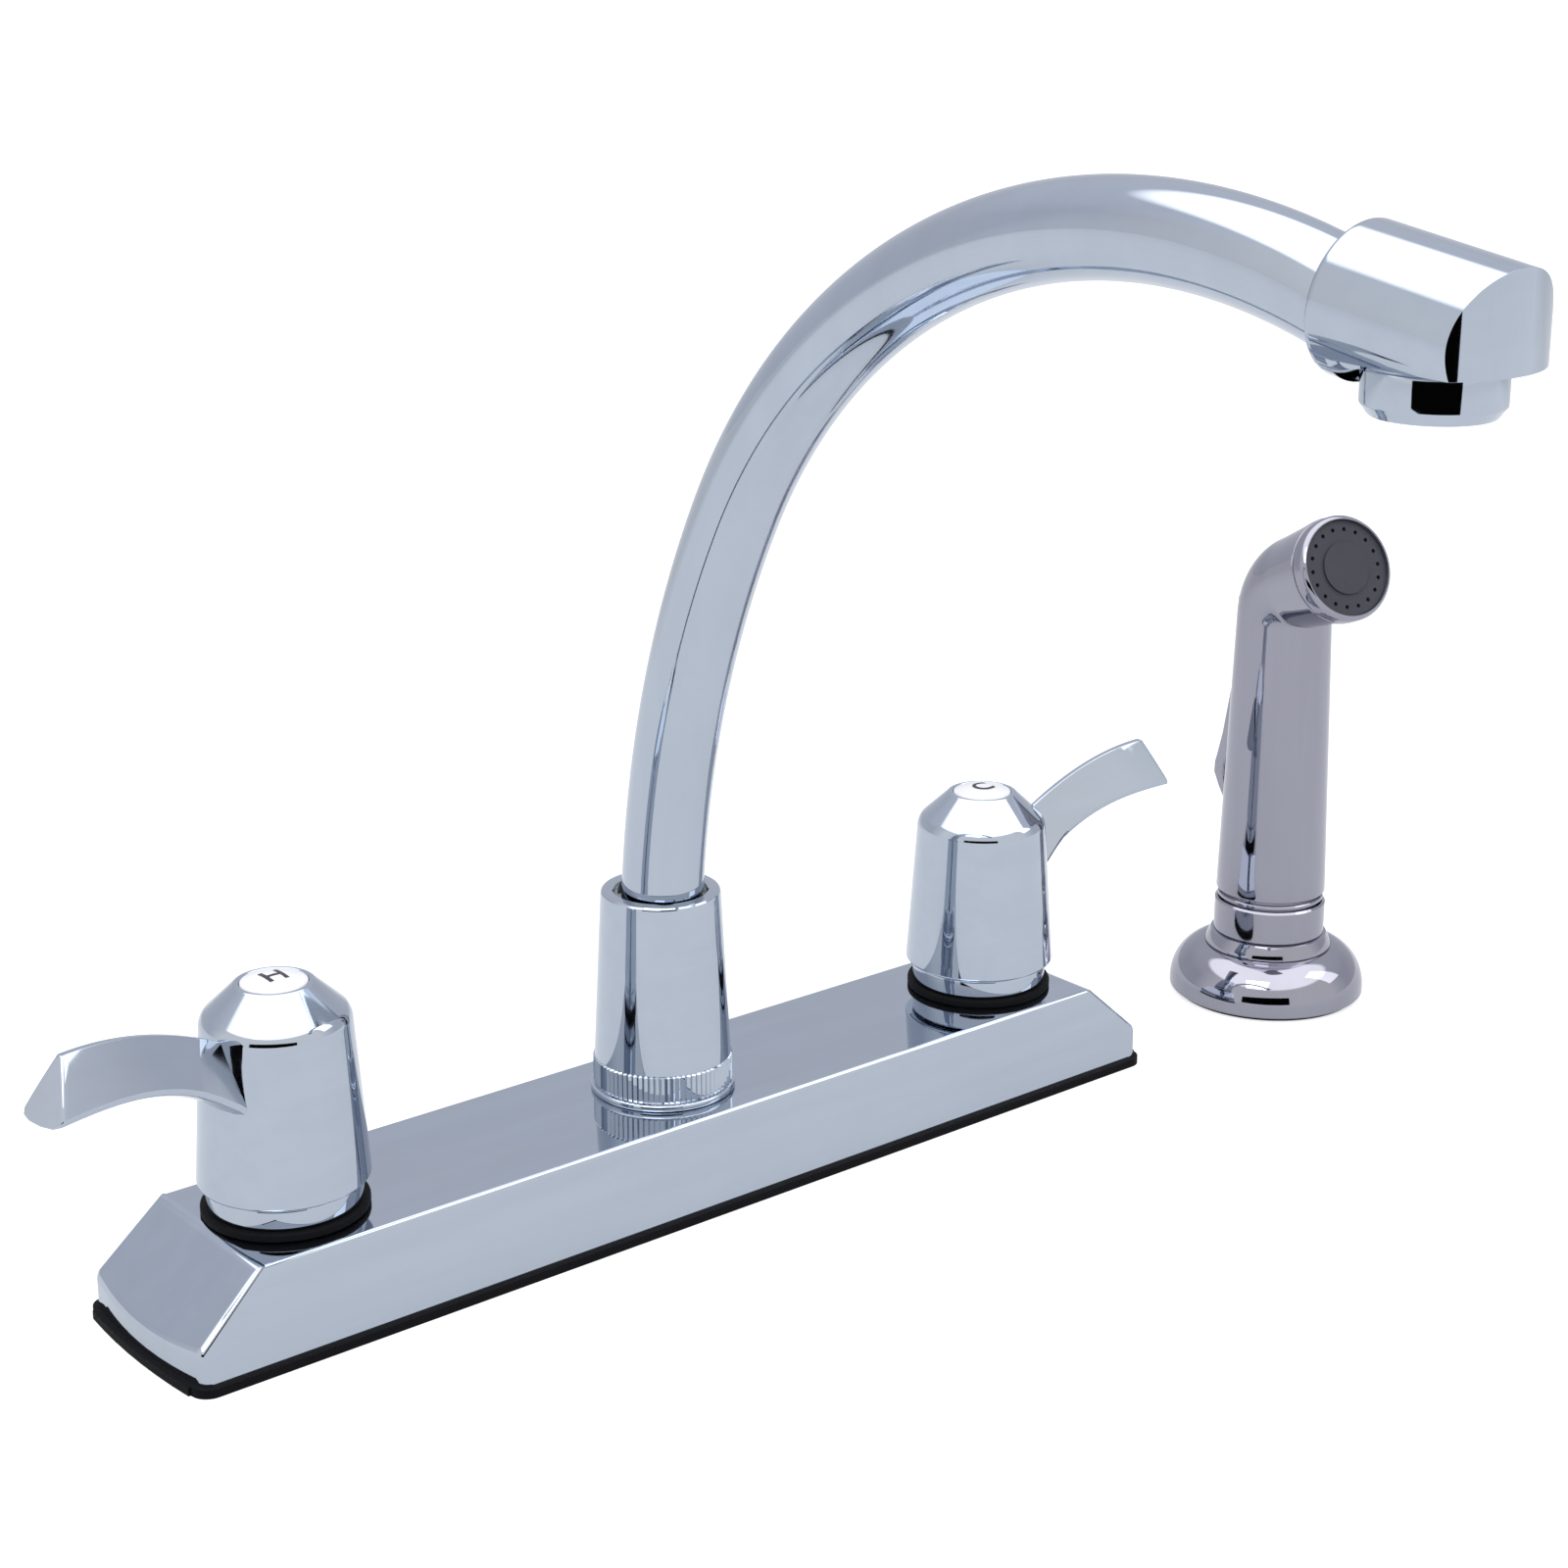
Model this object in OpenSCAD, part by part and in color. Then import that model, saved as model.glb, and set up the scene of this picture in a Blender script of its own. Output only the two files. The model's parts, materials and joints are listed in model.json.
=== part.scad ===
// Two handle kitchen faucet on eight inch centres with a swivel gooseneck spout
// and a separate hand sprayer. All sizes in millimetres.
// Origin: spout axis at the deck surface. +X towards the cold handle, -Y towards the user, +Z up.

/* [Deck plate] */
// Distance from the spout axis to each handle axis
handle_offset = 101.6; // [90:0.1:115]
// Length of the flat top of the plate
plate_top_length = 241; // [225:1:260]
// Length of the plate where its sloping ends meet the band
plate_end_length = 276; // [260:1:290]
// Depth of the plate at its top, front to back
plate_top_depth = 44; // [42:0.5:50]
// Depth of the plate at its foot, front to back
plate_foot_depth = 48.6; // [48:0.2:56]
// Height of the plate without its gasket
plate_height = 21.8; // [20:0.2:26]
// Height of the upright band round the foot of the plate
band_height = 5.9; // [4:0.1:8]
// Wall of the plate
plate_wall = 2.2; // [1.6:0.1:2.6]
// How far the ends of the plate bow outwards
end_bow = 1.8; // [1:0.1:3]
// Corner radius of the plate in plan
plate_corner = 3; // [2:0.5:5]
// Thickness of the rubber gasket
gasket_height = 2; // [1.5:0.1:3]
// How far the gasket shows round the plate
gasket_lip = 1.3; // [0.5:0.1:2]

/* [Handles] */
// Radius of the handle at its skirt
skirt_radius = 18.7; // [18.2:0.1:20]
// Radius of the handle at its shoulder
shoulder_radius = 16.1; // [15.6:0.1:17]
// Height of the conical wall of the handle
handle_wall_height = 37.4; // [35:0.2:42]
// Height of the sloping shoulder
shoulder_height = 7.2; // [6:0.2:9]
// Radius of the index button
button_radius = 7.3; // [6.5:0.1:8]
// Height of the domed face of the index button
button_dome = 1.3; // [0.8:0.1:2]
// Thickness of the index button at its edge
button_edge = 2.4; // [1.8:0.1:3]
// Radius of the chrome collar under the handle
collar_radius = 16.9; // [16.4:0.1:18]
// Height of the chrome collar under the handle
collar_height = 4.9; // [4:0.1:6]
// Thickness of the dark washer under the collar
collar_washer_height = 1.9; // [1.2:0.1:3]
// Gap between the turning handle and its collar
handle_gap = 0.4; // [0.3:0.05:0.8]
// How far the hot lever stands open, in degrees
hot_lever_turn = 14; // [0:1:60]

/* [Levers] */
// Reach of the lever's ridge from the handle axis
lever_top_reach = 57; // [50:0.5:66]
// Reach of the lever's underside from the handle axis
lever_foot_reach = 63; // [54:0.5:72]
// Height of the lever at its tip
lever_tip_height = 13.2; // [11:0.2:15]
// Half width of the lever at its tip
lever_tip_half_width = 5.9; // [5:0.1:8]
// Half width of the lever at its root
lever_root_half_width = 4.6; // [4:0.1:5.6]

/* [Spout] */
// Outside diameter of the spout tube
tube_diameter = 19.05; // [18.8:0.05:19.3]
// Wall of the spout tube
tube_wall = 1.1; // [0.8:0.1:1.6]
// Height above the deck where the tube starts to bend
bend_start = 54; // [53.6:0.1:58]
// Radius of the spout's first, easy bend
easy_bend_radius = 234; // [215:1:260]
// Angle of the first bend
easy_bend_angle = 29; // [24:1:34]
// Radius of the spout's main bend
main_bend_radius = 137; // [125:1:150]
// Angle of the main bend
main_bend_angle = 82.5; // [81:0.5:84]
// Radius of the spout sleeve at its top
sleeve_top_radius = 14; // [13.8:0.1:15]
// Radius of the spout sleeve at its foot
sleeve_foot_radius = 16.4; // [16:0.1:18]
// Height of the sleeve over its base ring
sleeve_height = 47.5; // [46.8:0.1:50]
// Height of the ribbed grip band at the sleeve's foot
grip_band_height = 7; // [5:0.2:9]
// Number of ribs round the grip band
grip_ribs = 48; // [36:1:60]
// Height of the bright ring under the sleeve
base_ring_height = 1.6; // [1:0.1:2.4]

/* [Spout head] */
// Diameter of the spout head
head_diameter = 27; // [26:0.2:29]
// Fall of the spout head from level, in degrees
head_fall = 9; // [6:0.5:12]
// Distance from the rear rim of the head to its rounded front end
head_length = 33.6; // [32.6:0.2:36]
// Radius of the rounded front end in plan
head_nose_radius = 22.6; // [20:0.2:26]
// Drop from the middle of the head's rear rim to its flat underside
head_flat_drop = 9; // [8.4:0.2:10]
// Distance from the front of the head back to the aerator axis
aerator_back = 16.6; // [15.6:0.2:17.6]
// Diameter of the aerator housing
aerator_diameter = 24.2; // [23.4:0.2:24.8]
// Height of the aerator housing that shows
aerator_height = 8.4; // [7:0.2:10]

/* [Sprayer] */
// Sprayer axis from the spout axis, sideways
sprayer_x = 202; // [195:1:215]
// Sprayer axis from the spout axis, front to back
sprayer_y = -10; // [-12:1:6]
// Radius of the bell flange
bell_radius = 26.4; // [25:0.1:28]
// Height of the bell flange up to its flared ring
bell_height = 12.9; // [11:0.1:15]
// Radius of the flared ring on the bell
flare_radius = 17.2; // [16.8:0.1:18.5]
// Height of the flared ring and its step
flare_height = 3.8; // [3:0.1:5]
// Radius of the sprayer collar
spray_collar_radius = 15; // [14.6:0.1:15.8]
// Height of the sprayer collar
spray_collar_height = 9.4; // [8:0.1:11]
// Radius of the grip at its foot
grip_foot_radius = 14.8; // [14.6:0.1:15.4]
// Radius of the grip at its top, where it bends into the spray head
grip_top_radius = 12.6; // [12.3:0.1:13.2]
// Height above the deck at which the axes of the grip and the spray head meet
elbow_level = 114.5; // [112:0.5:118]
// Radius of the spray head at its face
spray_head_radius = 14; // [13.6:0.1:14.6]
// Length of the spray head from the corner of the axes to its face
spray_head_length = 28.3; // [26:0.1:31]
// Rise of the spray head, in degrees
spray_head_rise = 23; // [14:1:28]
// Turn of the spray head from straight ahead, in degrees
spray_head_turn = 13; // [0:1:30]
// Number of spray holes in the ring
spray_holes = 18; // [12:1:24]

/* [Under the deck] */
// Radius of the threaded inlet shanks
shank_radius = 10.3; // [10:0.1:10.6]
// Length of the inlet shanks under the deck
shank_length = 52; // [45:1:60]
// Thickness of the countertop the nuts close on
counter_thickness = 19; // [12:1:24]
// Radius of the spray hose outlet
outlet_radius = 6.6; // [6:0.1:7]
// Length of the spray hose outlet under the deck
outlet_length = 30; // [25:1:40]

/* [Hidden] */
$fn = 96;

// Clearances and overruns
cut_over = 1;
slide_fit = 0.1;
seat_fit = 0.05;
soft_fit = 0.1;
running_gap = 0.5;
edge_round = 0.6;

// Colours, as the finishes show
chrome = [0.80, 0.83, 0.88];
brass_tone = [0.78, 0.62, 0.32];
copper_tone = [0.72, 0.45, 0.30];
steel_tone = [0.62, 0.63, 0.65];
rubber_tone = [0.06, 0.06, 0.07];
nylon_tone = [0.86, 0.86, 0.82];
white_tone = [0.95, 0.95, 0.95];
face_tone = [0.22, 0.24, 0.27];

// Heights of the plate, counted from the deck
plate_foot_z = gasket_height;
plate_top_z = gasket_height + plate_height;
band_top_z = gasket_height + band_height;
ceiling_z = plate_top_z - plate_wall;

// Valve sizes under each handle
valve_radius = 15.5;
neck_radius = 12.6;
neck_top_z = plate_top_z + collar_washer_height + collar_height - collar_height / 3;
cartridge_radius = 9.6;
cartridge_flange = 11.6;
cartridge_flange_height = 1.4;
hub_radius = 7.6;
hub_height = 9;
stem_radius = 4.8;
stem_square = 6.6;
seat_radius = 4.9;
seat_bore = 2.5;
seat_height = 3.4;
seat_spring_height = 3;
seat_spring_wall = 1.1;
inlet_bore = 4;
seat_pocket_z = gasket_height + seat_fit;
cartridge_foot_z = seat_pocket_z + seat_spring_height + seat_height;
supply_tube_radius = 6.2;
supply_tube_wall = 1;
supply_tube_z = (plate_foot_z + ceiling_z) / 2;
supply_socket = 3.5;
cartridge_hub_z = neck_top_z + cartridge_flange_height;
cartridge_top_z = cartridge_hub_z + hub_height;
o_ring_section = 1.2;
stem_seal_z = cartridge_top_z - 3 * o_ring_section;
stem_foot_z = cartridge_foot_z + seat_height;

// Handle heights
collar_foot_z = plate_top_z + collar_washer_height;
collar_top_z = collar_foot_z + collar_height;
skirt_z = collar_top_z + handle_gap;
shoulder_z = skirt_z + handle_wall_height;
button_seat_z = shoulder_z + shoulder_height - button_edge;
button_rim = 1.1;
handle_wall = 2.6;
skirt_depth = 10;
handle_floor_z = skirt_z + skirt_depth;
socket_depth = 12;
socket_top_z = handle_floor_z + socket_depth;
screw_seat_z = socket_top_z + 3.4;
screw_radius = 2.2;
screw_head_radius = 4.4;
screw_head_height = 3.2;
screw_reach = 12;
collar_step = 2.1;
washer_edge = 1.3;
collar_lip = 1.5;

// Lever outline
lever_root = 11;
lever_root_top_z = shoulder_z - 4.2;
lever_root_foot_z = shoulder_z - 22;
lever_rings = 12;
lever_tip_top_z = shoulder_z + 9.8;
// Ridge, side, belly: sideways and downward shares of the lever's half width and height
lever_section_shares = [
    [0.12, 0], [0.56, 0.40], [1, 0.82], [0.92, 0.92], [0.55, 0.98], [0, 1],
    [-0.55, 0.98], [-0.92, 0.92], [-1, 0.82], [-0.56, 0.40], [-0.12, 0]
];

// Spout sizes
tube_radius = tube_diameter / 2;
base_ring_z = plate_top_z;
base_ring_radius = sleeve_foot_radius + 0.6 * button_rim;
sleeve_z = base_ring_z + base_ring_height;
sleeve_top_z = sleeve_z + sleeve_height;
post_radius = 12;
post_top_z = bend_start - 4;
tube_foot_z = post_top_z - 16;
stop_ring_height = 2;
stop_ring_radius = post_radius - running_gap;
bushing_z = post_top_z + stop_ring_height;
sleeve_lip = 4;
sleeve_gap = 1.4;
bushing_radius = post_radius + running_gap;
bushing_play = 0.6;
bushing_top_z = sleeve_top_z - sleeve_lip - slide_fit;
sleeve_bore = post_radius + slide_fit;
rib_depth = 0.35;
seal_section = 1.1;
spout_seal_levels = [tube_foot_z + 4 * seal_section, tube_foot_z + 8 * seal_section];
center_radius = 17;
water_chamber_radius = 5;
water_chamber_z = gasket_height + 4;
diverter_radius = 6;
diverter_height = 9;
diverter_floor_z = tube_foot_z - 16;
diverter_seat_height = 3;
diverter_seat_wall = 1;
outlet_bore = 3.4;
valve_hole_gap = 0.3;
bends = [[easy_bend_radius, easy_bend_angle], [main_bend_radius, main_bend_angle]];

// Start of a bend: reach from the spout axis, height, and lean from upright
function bend_point(i) = i == 0 ? [0, bend_start, 0] :
    let (from = bend_point(i - 1), r = bends[i - 1][0], turn = from[2] + bends[i - 1][1])
    [from[0] + r * (cos(from[2]) - cos(turn)), from[1] + r * (sin(turn) - sin(from[2])), turn];
tube_end = bend_point(len(bends));
tube_insert = 4.8;

// Spout head: rear rim on its own falling axis
head_radius = head_diameter / 2;
head_offset = 1.4;
head_rim_reach = tube_end[0] - tube_insert * cos(tube_end[2] - 90);
head_rim_z = tube_end[1] + tube_insert * sin(tube_end[2] - 90) + head_offset;
head_nose_reach = head_rim_reach + head_length;
head_nose_axis = head_nose_reach - head_nose_radius;
head_wall = 2.4;
head_channel_radius = 5.5;
aerator_radius = aerator_diameter / 2;
aerator_reach = head_nose_reach - aerator_back;
head_flat_z = head_rim_z - head_flat_drop;
head_rim_to_aerator = (aerator_reach - head_rim_reach) / cos(head_fall);
aerator_foot_z = head_flat_z - aerator_height;
aerator_thread_radius = aerator_radius - 1.3;
aerator_thread_height = 5;
aerator_bore = aerator_radius - 2.9;
aerator_lip = 1.2;
aerator_washer_height = 1.4;
screen_height = 1;
screen_hole = 0.7;
screen_pitch = 2.4;
screen_rings = 3;
insert_height = aerator_height + aerator_thread_height - aerator_lip - screen_height;

// Sprayer sizes, on its own axis
spray_gasket_height = 1;
bell_edge = 1.6;
holder_radius = 12.4;
holder_wall = 1.4;
holder_foot_z = -40;
flange_wall = 2;
collar_neck_radius = flare_radius - edge_round;
flange_top_z = spray_gasket_height + bell_height + flare_height;
holder_top_z = flange_top_z - 2.6;
spray_nut_radius = 19;
spray_nut_height = 8;
spray_washer_radius = 21;
washer_height = 2;
collar_ring_gap = 0.5;
collar_ring_height = 1.1;
collar_ring_radius = spray_collar_radius - 0.7;
grip_groove_height = 1;
grip_groove_radius = grip_foot_radius - 1.6;
spray_collar_top_z = flange_top_z + spray_collar_height;
collar_ring_z = spray_collar_top_z + collar_ring_gap;
grip_z = collar_ring_z + collar_ring_height + grip_groove_height;
coupling_radius = 8.6;
coupling_foot_z = -14;
coupling_bore = 3;
coupling_top_z = grip_z + 11;
coupling_barb_height = 12;
coupling_barb_radius = 5;
grip_bore_top_z = coupling_top_z + seat_fit;
face_rim_wall = 1.5;
face_ring_depth = 5;
face_thickness = 4;
face_radius = spray_head_radius - face_rim_wall;
spray_hole_radius = 0.55;
spray_hole_circle_share = 0.82;
center_disc_share = 0.55;
center_disc_rise = 0.5;
water_bore = 2.6;
head_chamber_depth = 6;
head_chamber_radius = 9;
elbow_swell = 0.5;
pivot_drop = 4.5;
elbow_turn = 90 - spray_head_rise;

// Trigger on the back of the grip: places are distance behind the grip axis, and height
trigger_width = 11;
trigger_slot_gap = 0.5;
trigger_pivot_back = 9.2;
trigger_pivot_z = elbow_level - pivot_drop;
trigger_knuckle = 2.8;
trigger_pin_radius = 1.2;
trigger_pin_length = 16.2;
trigger_pin_foot = -7.8;
trigger_slot_back = 6;
trigger_length = 61;
trigger_kick = 12.6;
trigger_slot_foot_z = trigger_pivot_z - trigger_length - 3;
// Outline of the trigger: shares of its kick backwards and of its length downwards
trigger_outline_shares = [
    [0.20, -0.02], [0.36, 0.18], [0.50, 0.43], [0.75, 0.66], [0.99, 0.81], [1, 0.86],
    [0.50, 0.99], [0.38, 0.98], [0.62, 0.85], [0.60, 0.79], [0.36, 0.59], [0.16, 0.36],
    [0.04, 0.16], [-0.10, 0.03]
];
valve_z = trigger_pivot_z - 0.43 * trigger_length;
valve_stem_radius = 2;
valve_stem_foot = 2.6;
valve_stem_end = trigger_pivot_back + 0.19 * trigger_kick;
valve_bore_end = -2;
trigger_spring_wall = 0.8;
trigger_spring_height = 3;

// Nuts and washers under the counter
nut_radius = 17;
nut_height = 9;
nut_sides = 6;
mount_washer_radius = 19;
// The free ends of the shanks are turned down a little below their nuts
end_step = 0.3;
thread_end = 1;
shank_thread = counter_thickness + washer_height + nut_height + thread_end;
holder_thread = counter_thickness + washer_height + spray_nut_height + thread_end;
outlet_collar = 2;

module at_handles() {
    for (side = [-1, 1]) translate([side * handle_offset, 0, 0]) children();
}

module at_hot() {
    translate([-handle_offset, 0, 0]) children();
}

module at_cold() {
    translate([handle_offset, 0, 0]) children();
}

module at_sprayer() {
    translate([sprayer_x, sprayer_y, 0]) children();
}

// Turns the sprayer's own frame, spray face forwards, to where it looks
module spray_facing() {
    at_sprayer() rotate([0, 0, -spray_head_turn]) children();
}

module ring(outer, inner, height, z = 0) {
    translate([0, 0, z]) difference() {
        cylinder(h = height, r = outer);
        translate([0, 0, -cut_over]) cylinder(h = height + 2 * cut_over, r = inner);
    }
}

module o_ring(middle_radius, section, z) {
    translate([0, 0, z]) rotate_extrude() translate([middle_radius, 0]) circle(r = section / 2, $fn = 32);
}

// Plan of the plate: a long panel with bowed ends and rounded corners
module plate_plan(length, depth, corner) {
    bow_radius = (depth * depth / 4 + end_bow * end_bow) / (2 * end_bow);
    bow_shift = length / 2 - bow_radius;
    intersection() {
        union() {
            square([length, depth - 2 * corner], center = true);
            square([length - 2 * corner - 2 * end_bow, depth], center = true);
            for (x = [-1, 1], y = [-1, 1])
                translate([x * (length / 2 - corner - end_bow), y * (depth / 2 - corner)]) circle(r = corner);
        }
        intersection_for (turn = [0, 180]) rotate(turn) {
            translate([bow_shift, 0]) circle(r = bow_radius, $fn = 360);
            translate([bow_shift - 2 * length, -depth]) square([2 * length, 2 * depth]);
        }
    }
}

// The plate's form: plan, sloping ends and drafted faces; inset gives the hollow inside it
module plate_form(inset, foot_z) {
    top_z = plate_top_z - inset;
    end_half = plate_end_length / 2 - inset;
    top_half = plate_top_length / 2 - inset;
    foot_y = plate_foot_depth / 2 - inset;
    top_y = plate_top_depth / 2 - inset;
    intersection() {
        translate([0, 0, foot_z]) linear_extrude(top_z - foot_z)
            plate_plan(2 * end_half, 2 * foot_y, plate_corner);
        rotate([90, 0, 0]) linear_extrude(2 * plate_foot_depth, center = true) polygon([
            [-end_half, foot_z], [end_half, foot_z], [end_half, band_top_z],
            [top_half, top_z], [-top_half, top_z], [-end_half, band_top_z]
        ]);
        rotate([90, 0, 90]) linear_extrude(2 * plate_end_length, center = true) polygon([
            [-foot_y, foot_z], [foot_y, foot_z], [top_y, top_z], [-top_y, top_z]
        ]);
    }
}

module deck_plate() {
    color(chrome) difference() {
        plate_form(0, plate_foot_z);
        plate_form(plate_wall, plate_foot_z - cut_over);
        at_handles() cylinder(h = plate_top_z + cut_over, r = neck_radius + valve_hole_gap);
        cylinder(h = plate_top_z + cut_over, r = post_radius + valve_hole_gap);
    }
}

module deck_gasket() {
    color(rubber_tone) difference() {
        linear_extrude(gasket_height) plate_plan(
            plate_end_length + 2 * gasket_lip, plate_foot_depth + 2 * gasket_lip, plate_corner + gasket_lip);
        at_handles() translate([0, 0, -cut_over])
            cylinder(h = gasket_height + 2 * cut_over, r = shank_radius + soft_fit);
        translate([0, 0, -cut_over]) cylinder(h = gasket_height + 2 * cut_over, r = outlet_radius + soft_fit);
    }
}

// Brass body of one valve; side is 1 where its outlet faces +X
module valve_body(side) {
    color(brass_tone) difference() {
        union() {
            translate([0, 0, plate_foot_z]) cylinder(h = ceiling_z - plate_foot_z, r = valve_radius);
            translate([0, 0, ceiling_z]) cylinder(h = neck_top_z - ceiling_z, r = neck_radius);
            translate([0, 0, -shank_thread]) cylinder(h = shank_thread + plate_foot_z, r = shank_radius);
            translate([0, 0, -shank_length]) cylinder(h = shank_length, r = shank_radius - end_step);
        }
        translate([0, 0, cartridge_foot_z])
            cylinder(h = neck_top_z - cartridge_foot_z + cut_over, r = cartridge_radius + seat_fit);
        translate([0, 0, seat_pocket_z])
            cylinder(h = cartridge_foot_z - seat_pocket_z + seat_fit, r = seat_radius + seat_fit);
        translate([0, 0, -shank_length - cut_over])
            cylinder(h = shank_length + seat_pocket_z + 2 * cut_over, r = inlet_bore);
        supply_port(side, valve_radius, cartridge_radius);
    }
}

// Socket and passage for a supply tube in the side of a body of the given radius
module supply_port(side, body_radius, bore_radius) {
    translate([0, 0, supply_tube_z]) rotate([0, side * 90, 0]) {
        translate([0, 0, body_radius - supply_socket])
            cylinder(h = supply_socket + cut_over, r = supply_tube_radius + seat_fit);
        translate([0, 0, bore_radius - cut_over])
            cylinder(h = body_radius - bore_radius, r = supply_tube_radius - supply_tube_wall);
    }
}

module hot_valve_body() {
    at_hot() valve_body(1);
}

module cold_valve_body() {
    at_cold() valve_body(-1);
}

// Centre body: post for the spout, water chamber and the outlet for the spray hose
module center_body() {
    color(brass_tone) difference() {
        union() {
            translate([0, 0, plate_foot_z]) cylinder(h = ceiling_z - plate_foot_z, r = center_radius);
            translate([0, 0, ceiling_z]) cylinder(h = post_top_z - ceiling_z, r = post_radius);
            translate([0, 0, -outlet_collar]) cylinder(h = outlet_collar + plate_foot_z, r = outlet_radius);
            translate([0, 0, -outlet_length]) cylinder(h = outlet_length, r = outlet_radius - end_step);
        }
        translate([0, 0, tube_foot_z])
            cylinder(h = post_top_z - tube_foot_z + cut_over, r = tube_radius + slide_fit);
        translate([0, 0, diverter_floor_z])
            cylinder(h = tube_foot_z - diverter_floor_z + cut_over, r = diverter_radius + slide_fit);
        translate([0, 0, water_chamber_z])
            cylinder(h = diverter_floor_z - water_chamber_z + cut_over, r = water_chamber_radius);
        translate([0, 0, -outlet_length - cut_over])
            cylinder(h = outlet_length + water_chamber_z + 2 * cut_over, r = outlet_bore);
        for (side = [-1, 1]) supply_port(side, center_radius, water_chamber_radius);
        for (z = spout_seal_levels) o_ring_groove(tube_radius + seal_section / 2, seal_section, z);
    }
}

// A square groove for an o-ring in a bore
module o_ring_groove(middle_radius, section, z) {
    outer = middle_radius + section / 2 + seat_fit;
    ring(outer, middle_radius - section, section + 2 * seat_fit, z - section / 2 - seat_fit);
}

module supply_tube(side) {
    start = center_radius - supply_socket + seat_fit;
    end = handle_offset - valve_radius + supply_socket - seat_fit;
    color(copper_tone) translate([0, 0, supply_tube_z]) rotate([0, side * 90, 0])
        ring(supply_tube_radius, supply_tube_radius - supply_tube_wall, end - start, start);
}

module hot_supply_tube() {
    supply_tube(-1);
}

module cold_supply_tube() {
    supply_tube(1);
}

module mounting_nuts() {
    color(brass_tone) at_handles()
        translate([0, 0, -counter_thickness - washer_height - nut_height]) difference() {
            cylinder(h = nut_height, r = nut_radius, $fn = nut_sides);
            translate([0, 0, -cut_over]) cylinder(h = nut_height + 2 * cut_over, r = shank_radius + seat_fit);
        }
}

module mounting_washers() {
    color(steel_tone) at_handles()
        ring(mount_washer_radius, shank_radius + seat_fit, washer_height, -counter_thickness - washer_height);
}

module seat_springs() {
    color(steel_tone) at_handles()
        ring(seat_radius, seat_radius - seat_spring_wall, seat_spring_height, seat_pocket_z);
}

module valve_seats() {
    color(rubber_tone) at_handles()
        ring(seat_radius, seat_bore, seat_height, seat_pocket_z + seat_spring_height);
}

module cartridge(side) {
    color(nylon_tone) difference() {
        union() {
            translate([0, 0, cartridge_foot_z])
                cylinder(h = neck_top_z - cartridge_foot_z + cut_over / 2, r = cartridge_radius);
            translate([0, 0, neck_top_z]) cylinder(h = cartridge_flange_height, r = cartridge_flange);
            translate([0, 0, neck_top_z]) cylinder(h = cartridge_top_z - neck_top_z, r = hub_radius);
        }
        translate([0, 0, stem_foot_z])
            cylinder(h = cartridge_top_z - stem_foot_z + cut_over, r = stem_radius + slide_fit);
        translate([0, 0, cartridge_foot_z - cut_over])
            cylinder(h = stem_foot_z - cartridge_foot_z + 2 * cut_over, r = seat_bore);
        translate([0, 0, supply_tube_z]) rotate([0, side * 90, 0])
            cylinder(h = cartridge_radius + cut_over, r = seat_bore);
        o_ring_groove(stem_radius + o_ring_section / 2, o_ring_section, stem_seal_z);
    }
}

module hot_cartridge() {
    at_hot() cartridge(1);
}

module cold_cartridge() {
    at_cold() cartridge(-1);
}

module stem_seals() {
    color(rubber_tone) at_handles()
        o_ring(
            stem_radius + soft_fit + o_ring_section / 2 - seat_fit,
            o_ring_section - 2 * seat_fit,
            stem_seal_z
        );
}

// Chrome collar screwed down over the cartridge, with a lip inside the handle
module bonnet_collars() {
    color(chrome) at_handles() difference() {
        rotate_extrude() polygon([
            [hub_radius + running_gap, collar_foot_z],
            [collar_radius - edge_round, collar_foot_z],
            [collar_radius, collar_foot_z + edge_round],
            [collar_radius, collar_top_z - edge_round],
            [collar_radius - edge_round, collar_top_z],
            [collar_radius - collar_step, collar_top_z],
            [collar_radius - collar_step, collar_top_z + collar_lip],
            [hub_radius + running_gap, collar_top_z + collar_lip]
        ]);
        translate([0, 0, collar_foot_z - cut_over])
            cylinder(h = neck_top_z - collar_foot_z + cut_over, r = neck_radius + seat_fit);
        translate([0, 0, neck_top_z - seat_fit])
            cylinder(h = cartridge_flange_height + seat_fit, r = cartridge_flange + seat_fit);
    }
}

module collar_washers() {
    color(rubber_tone) at_handles()
        ring(collar_radius + washer_edge, neck_radius + seat_fit, collar_washer_height, plate_top_z);
}

// Turning stem: round in the cartridge, square in the handle
module stem() {
    color(brass_tone) difference() {
        union() {
            translate([0, 0, stem_foot_z]) cylinder(h = handle_floor_z - stem_foot_z, r = stem_radius);
            translate([-stem_square / 2, -stem_square / 2, handle_floor_z - cut_over])
                cube([stem_square, stem_square, socket_depth + cut_over - seat_fit]);
        }
        translate([0, 0, screw_seat_z - screw_reach - cut_over])
            cylinder(h = screw_reach + cut_over, r = screw_radius + seat_fit);
        translate([-stem_radius, 0, stem_foot_z - cut_over])
            cube([2 * stem_radius, stem_radius, 2 * seat_radius]);
    }
}

module hot_stem() {
    at_hot() rotate([0, 0, hot_lever_turn]) stem();
}

module cold_stem() {
    at_cold() stem();
}

// Lever, swept from the handle outwards along +X
function lever_point(u, share) = let (
        fall = 1 - (1 - u) * (1 - u),
        foot_fall = 1 - pow(1 - u, 3),
        top_x = lever_root + (lever_top_reach - lever_root) * u,
        foot_x = lever_root + (lever_foot_reach - lever_root) * u,
        top_z = lever_root_top_z + (lever_tip_top_z - lever_root_top_z) * fall,
        foot_z = lever_root_foot_z + (lever_tip_top_z - lever_tip_height - lever_root_foot_z) * foot_fall,
        half = lever_root_half_width + (lever_tip_half_width - lever_root_half_width) * u
    ) [top_x + (foot_x - top_x) * share[1], half * share[0], top_z + (foot_z - top_z) * share[1]];

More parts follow.
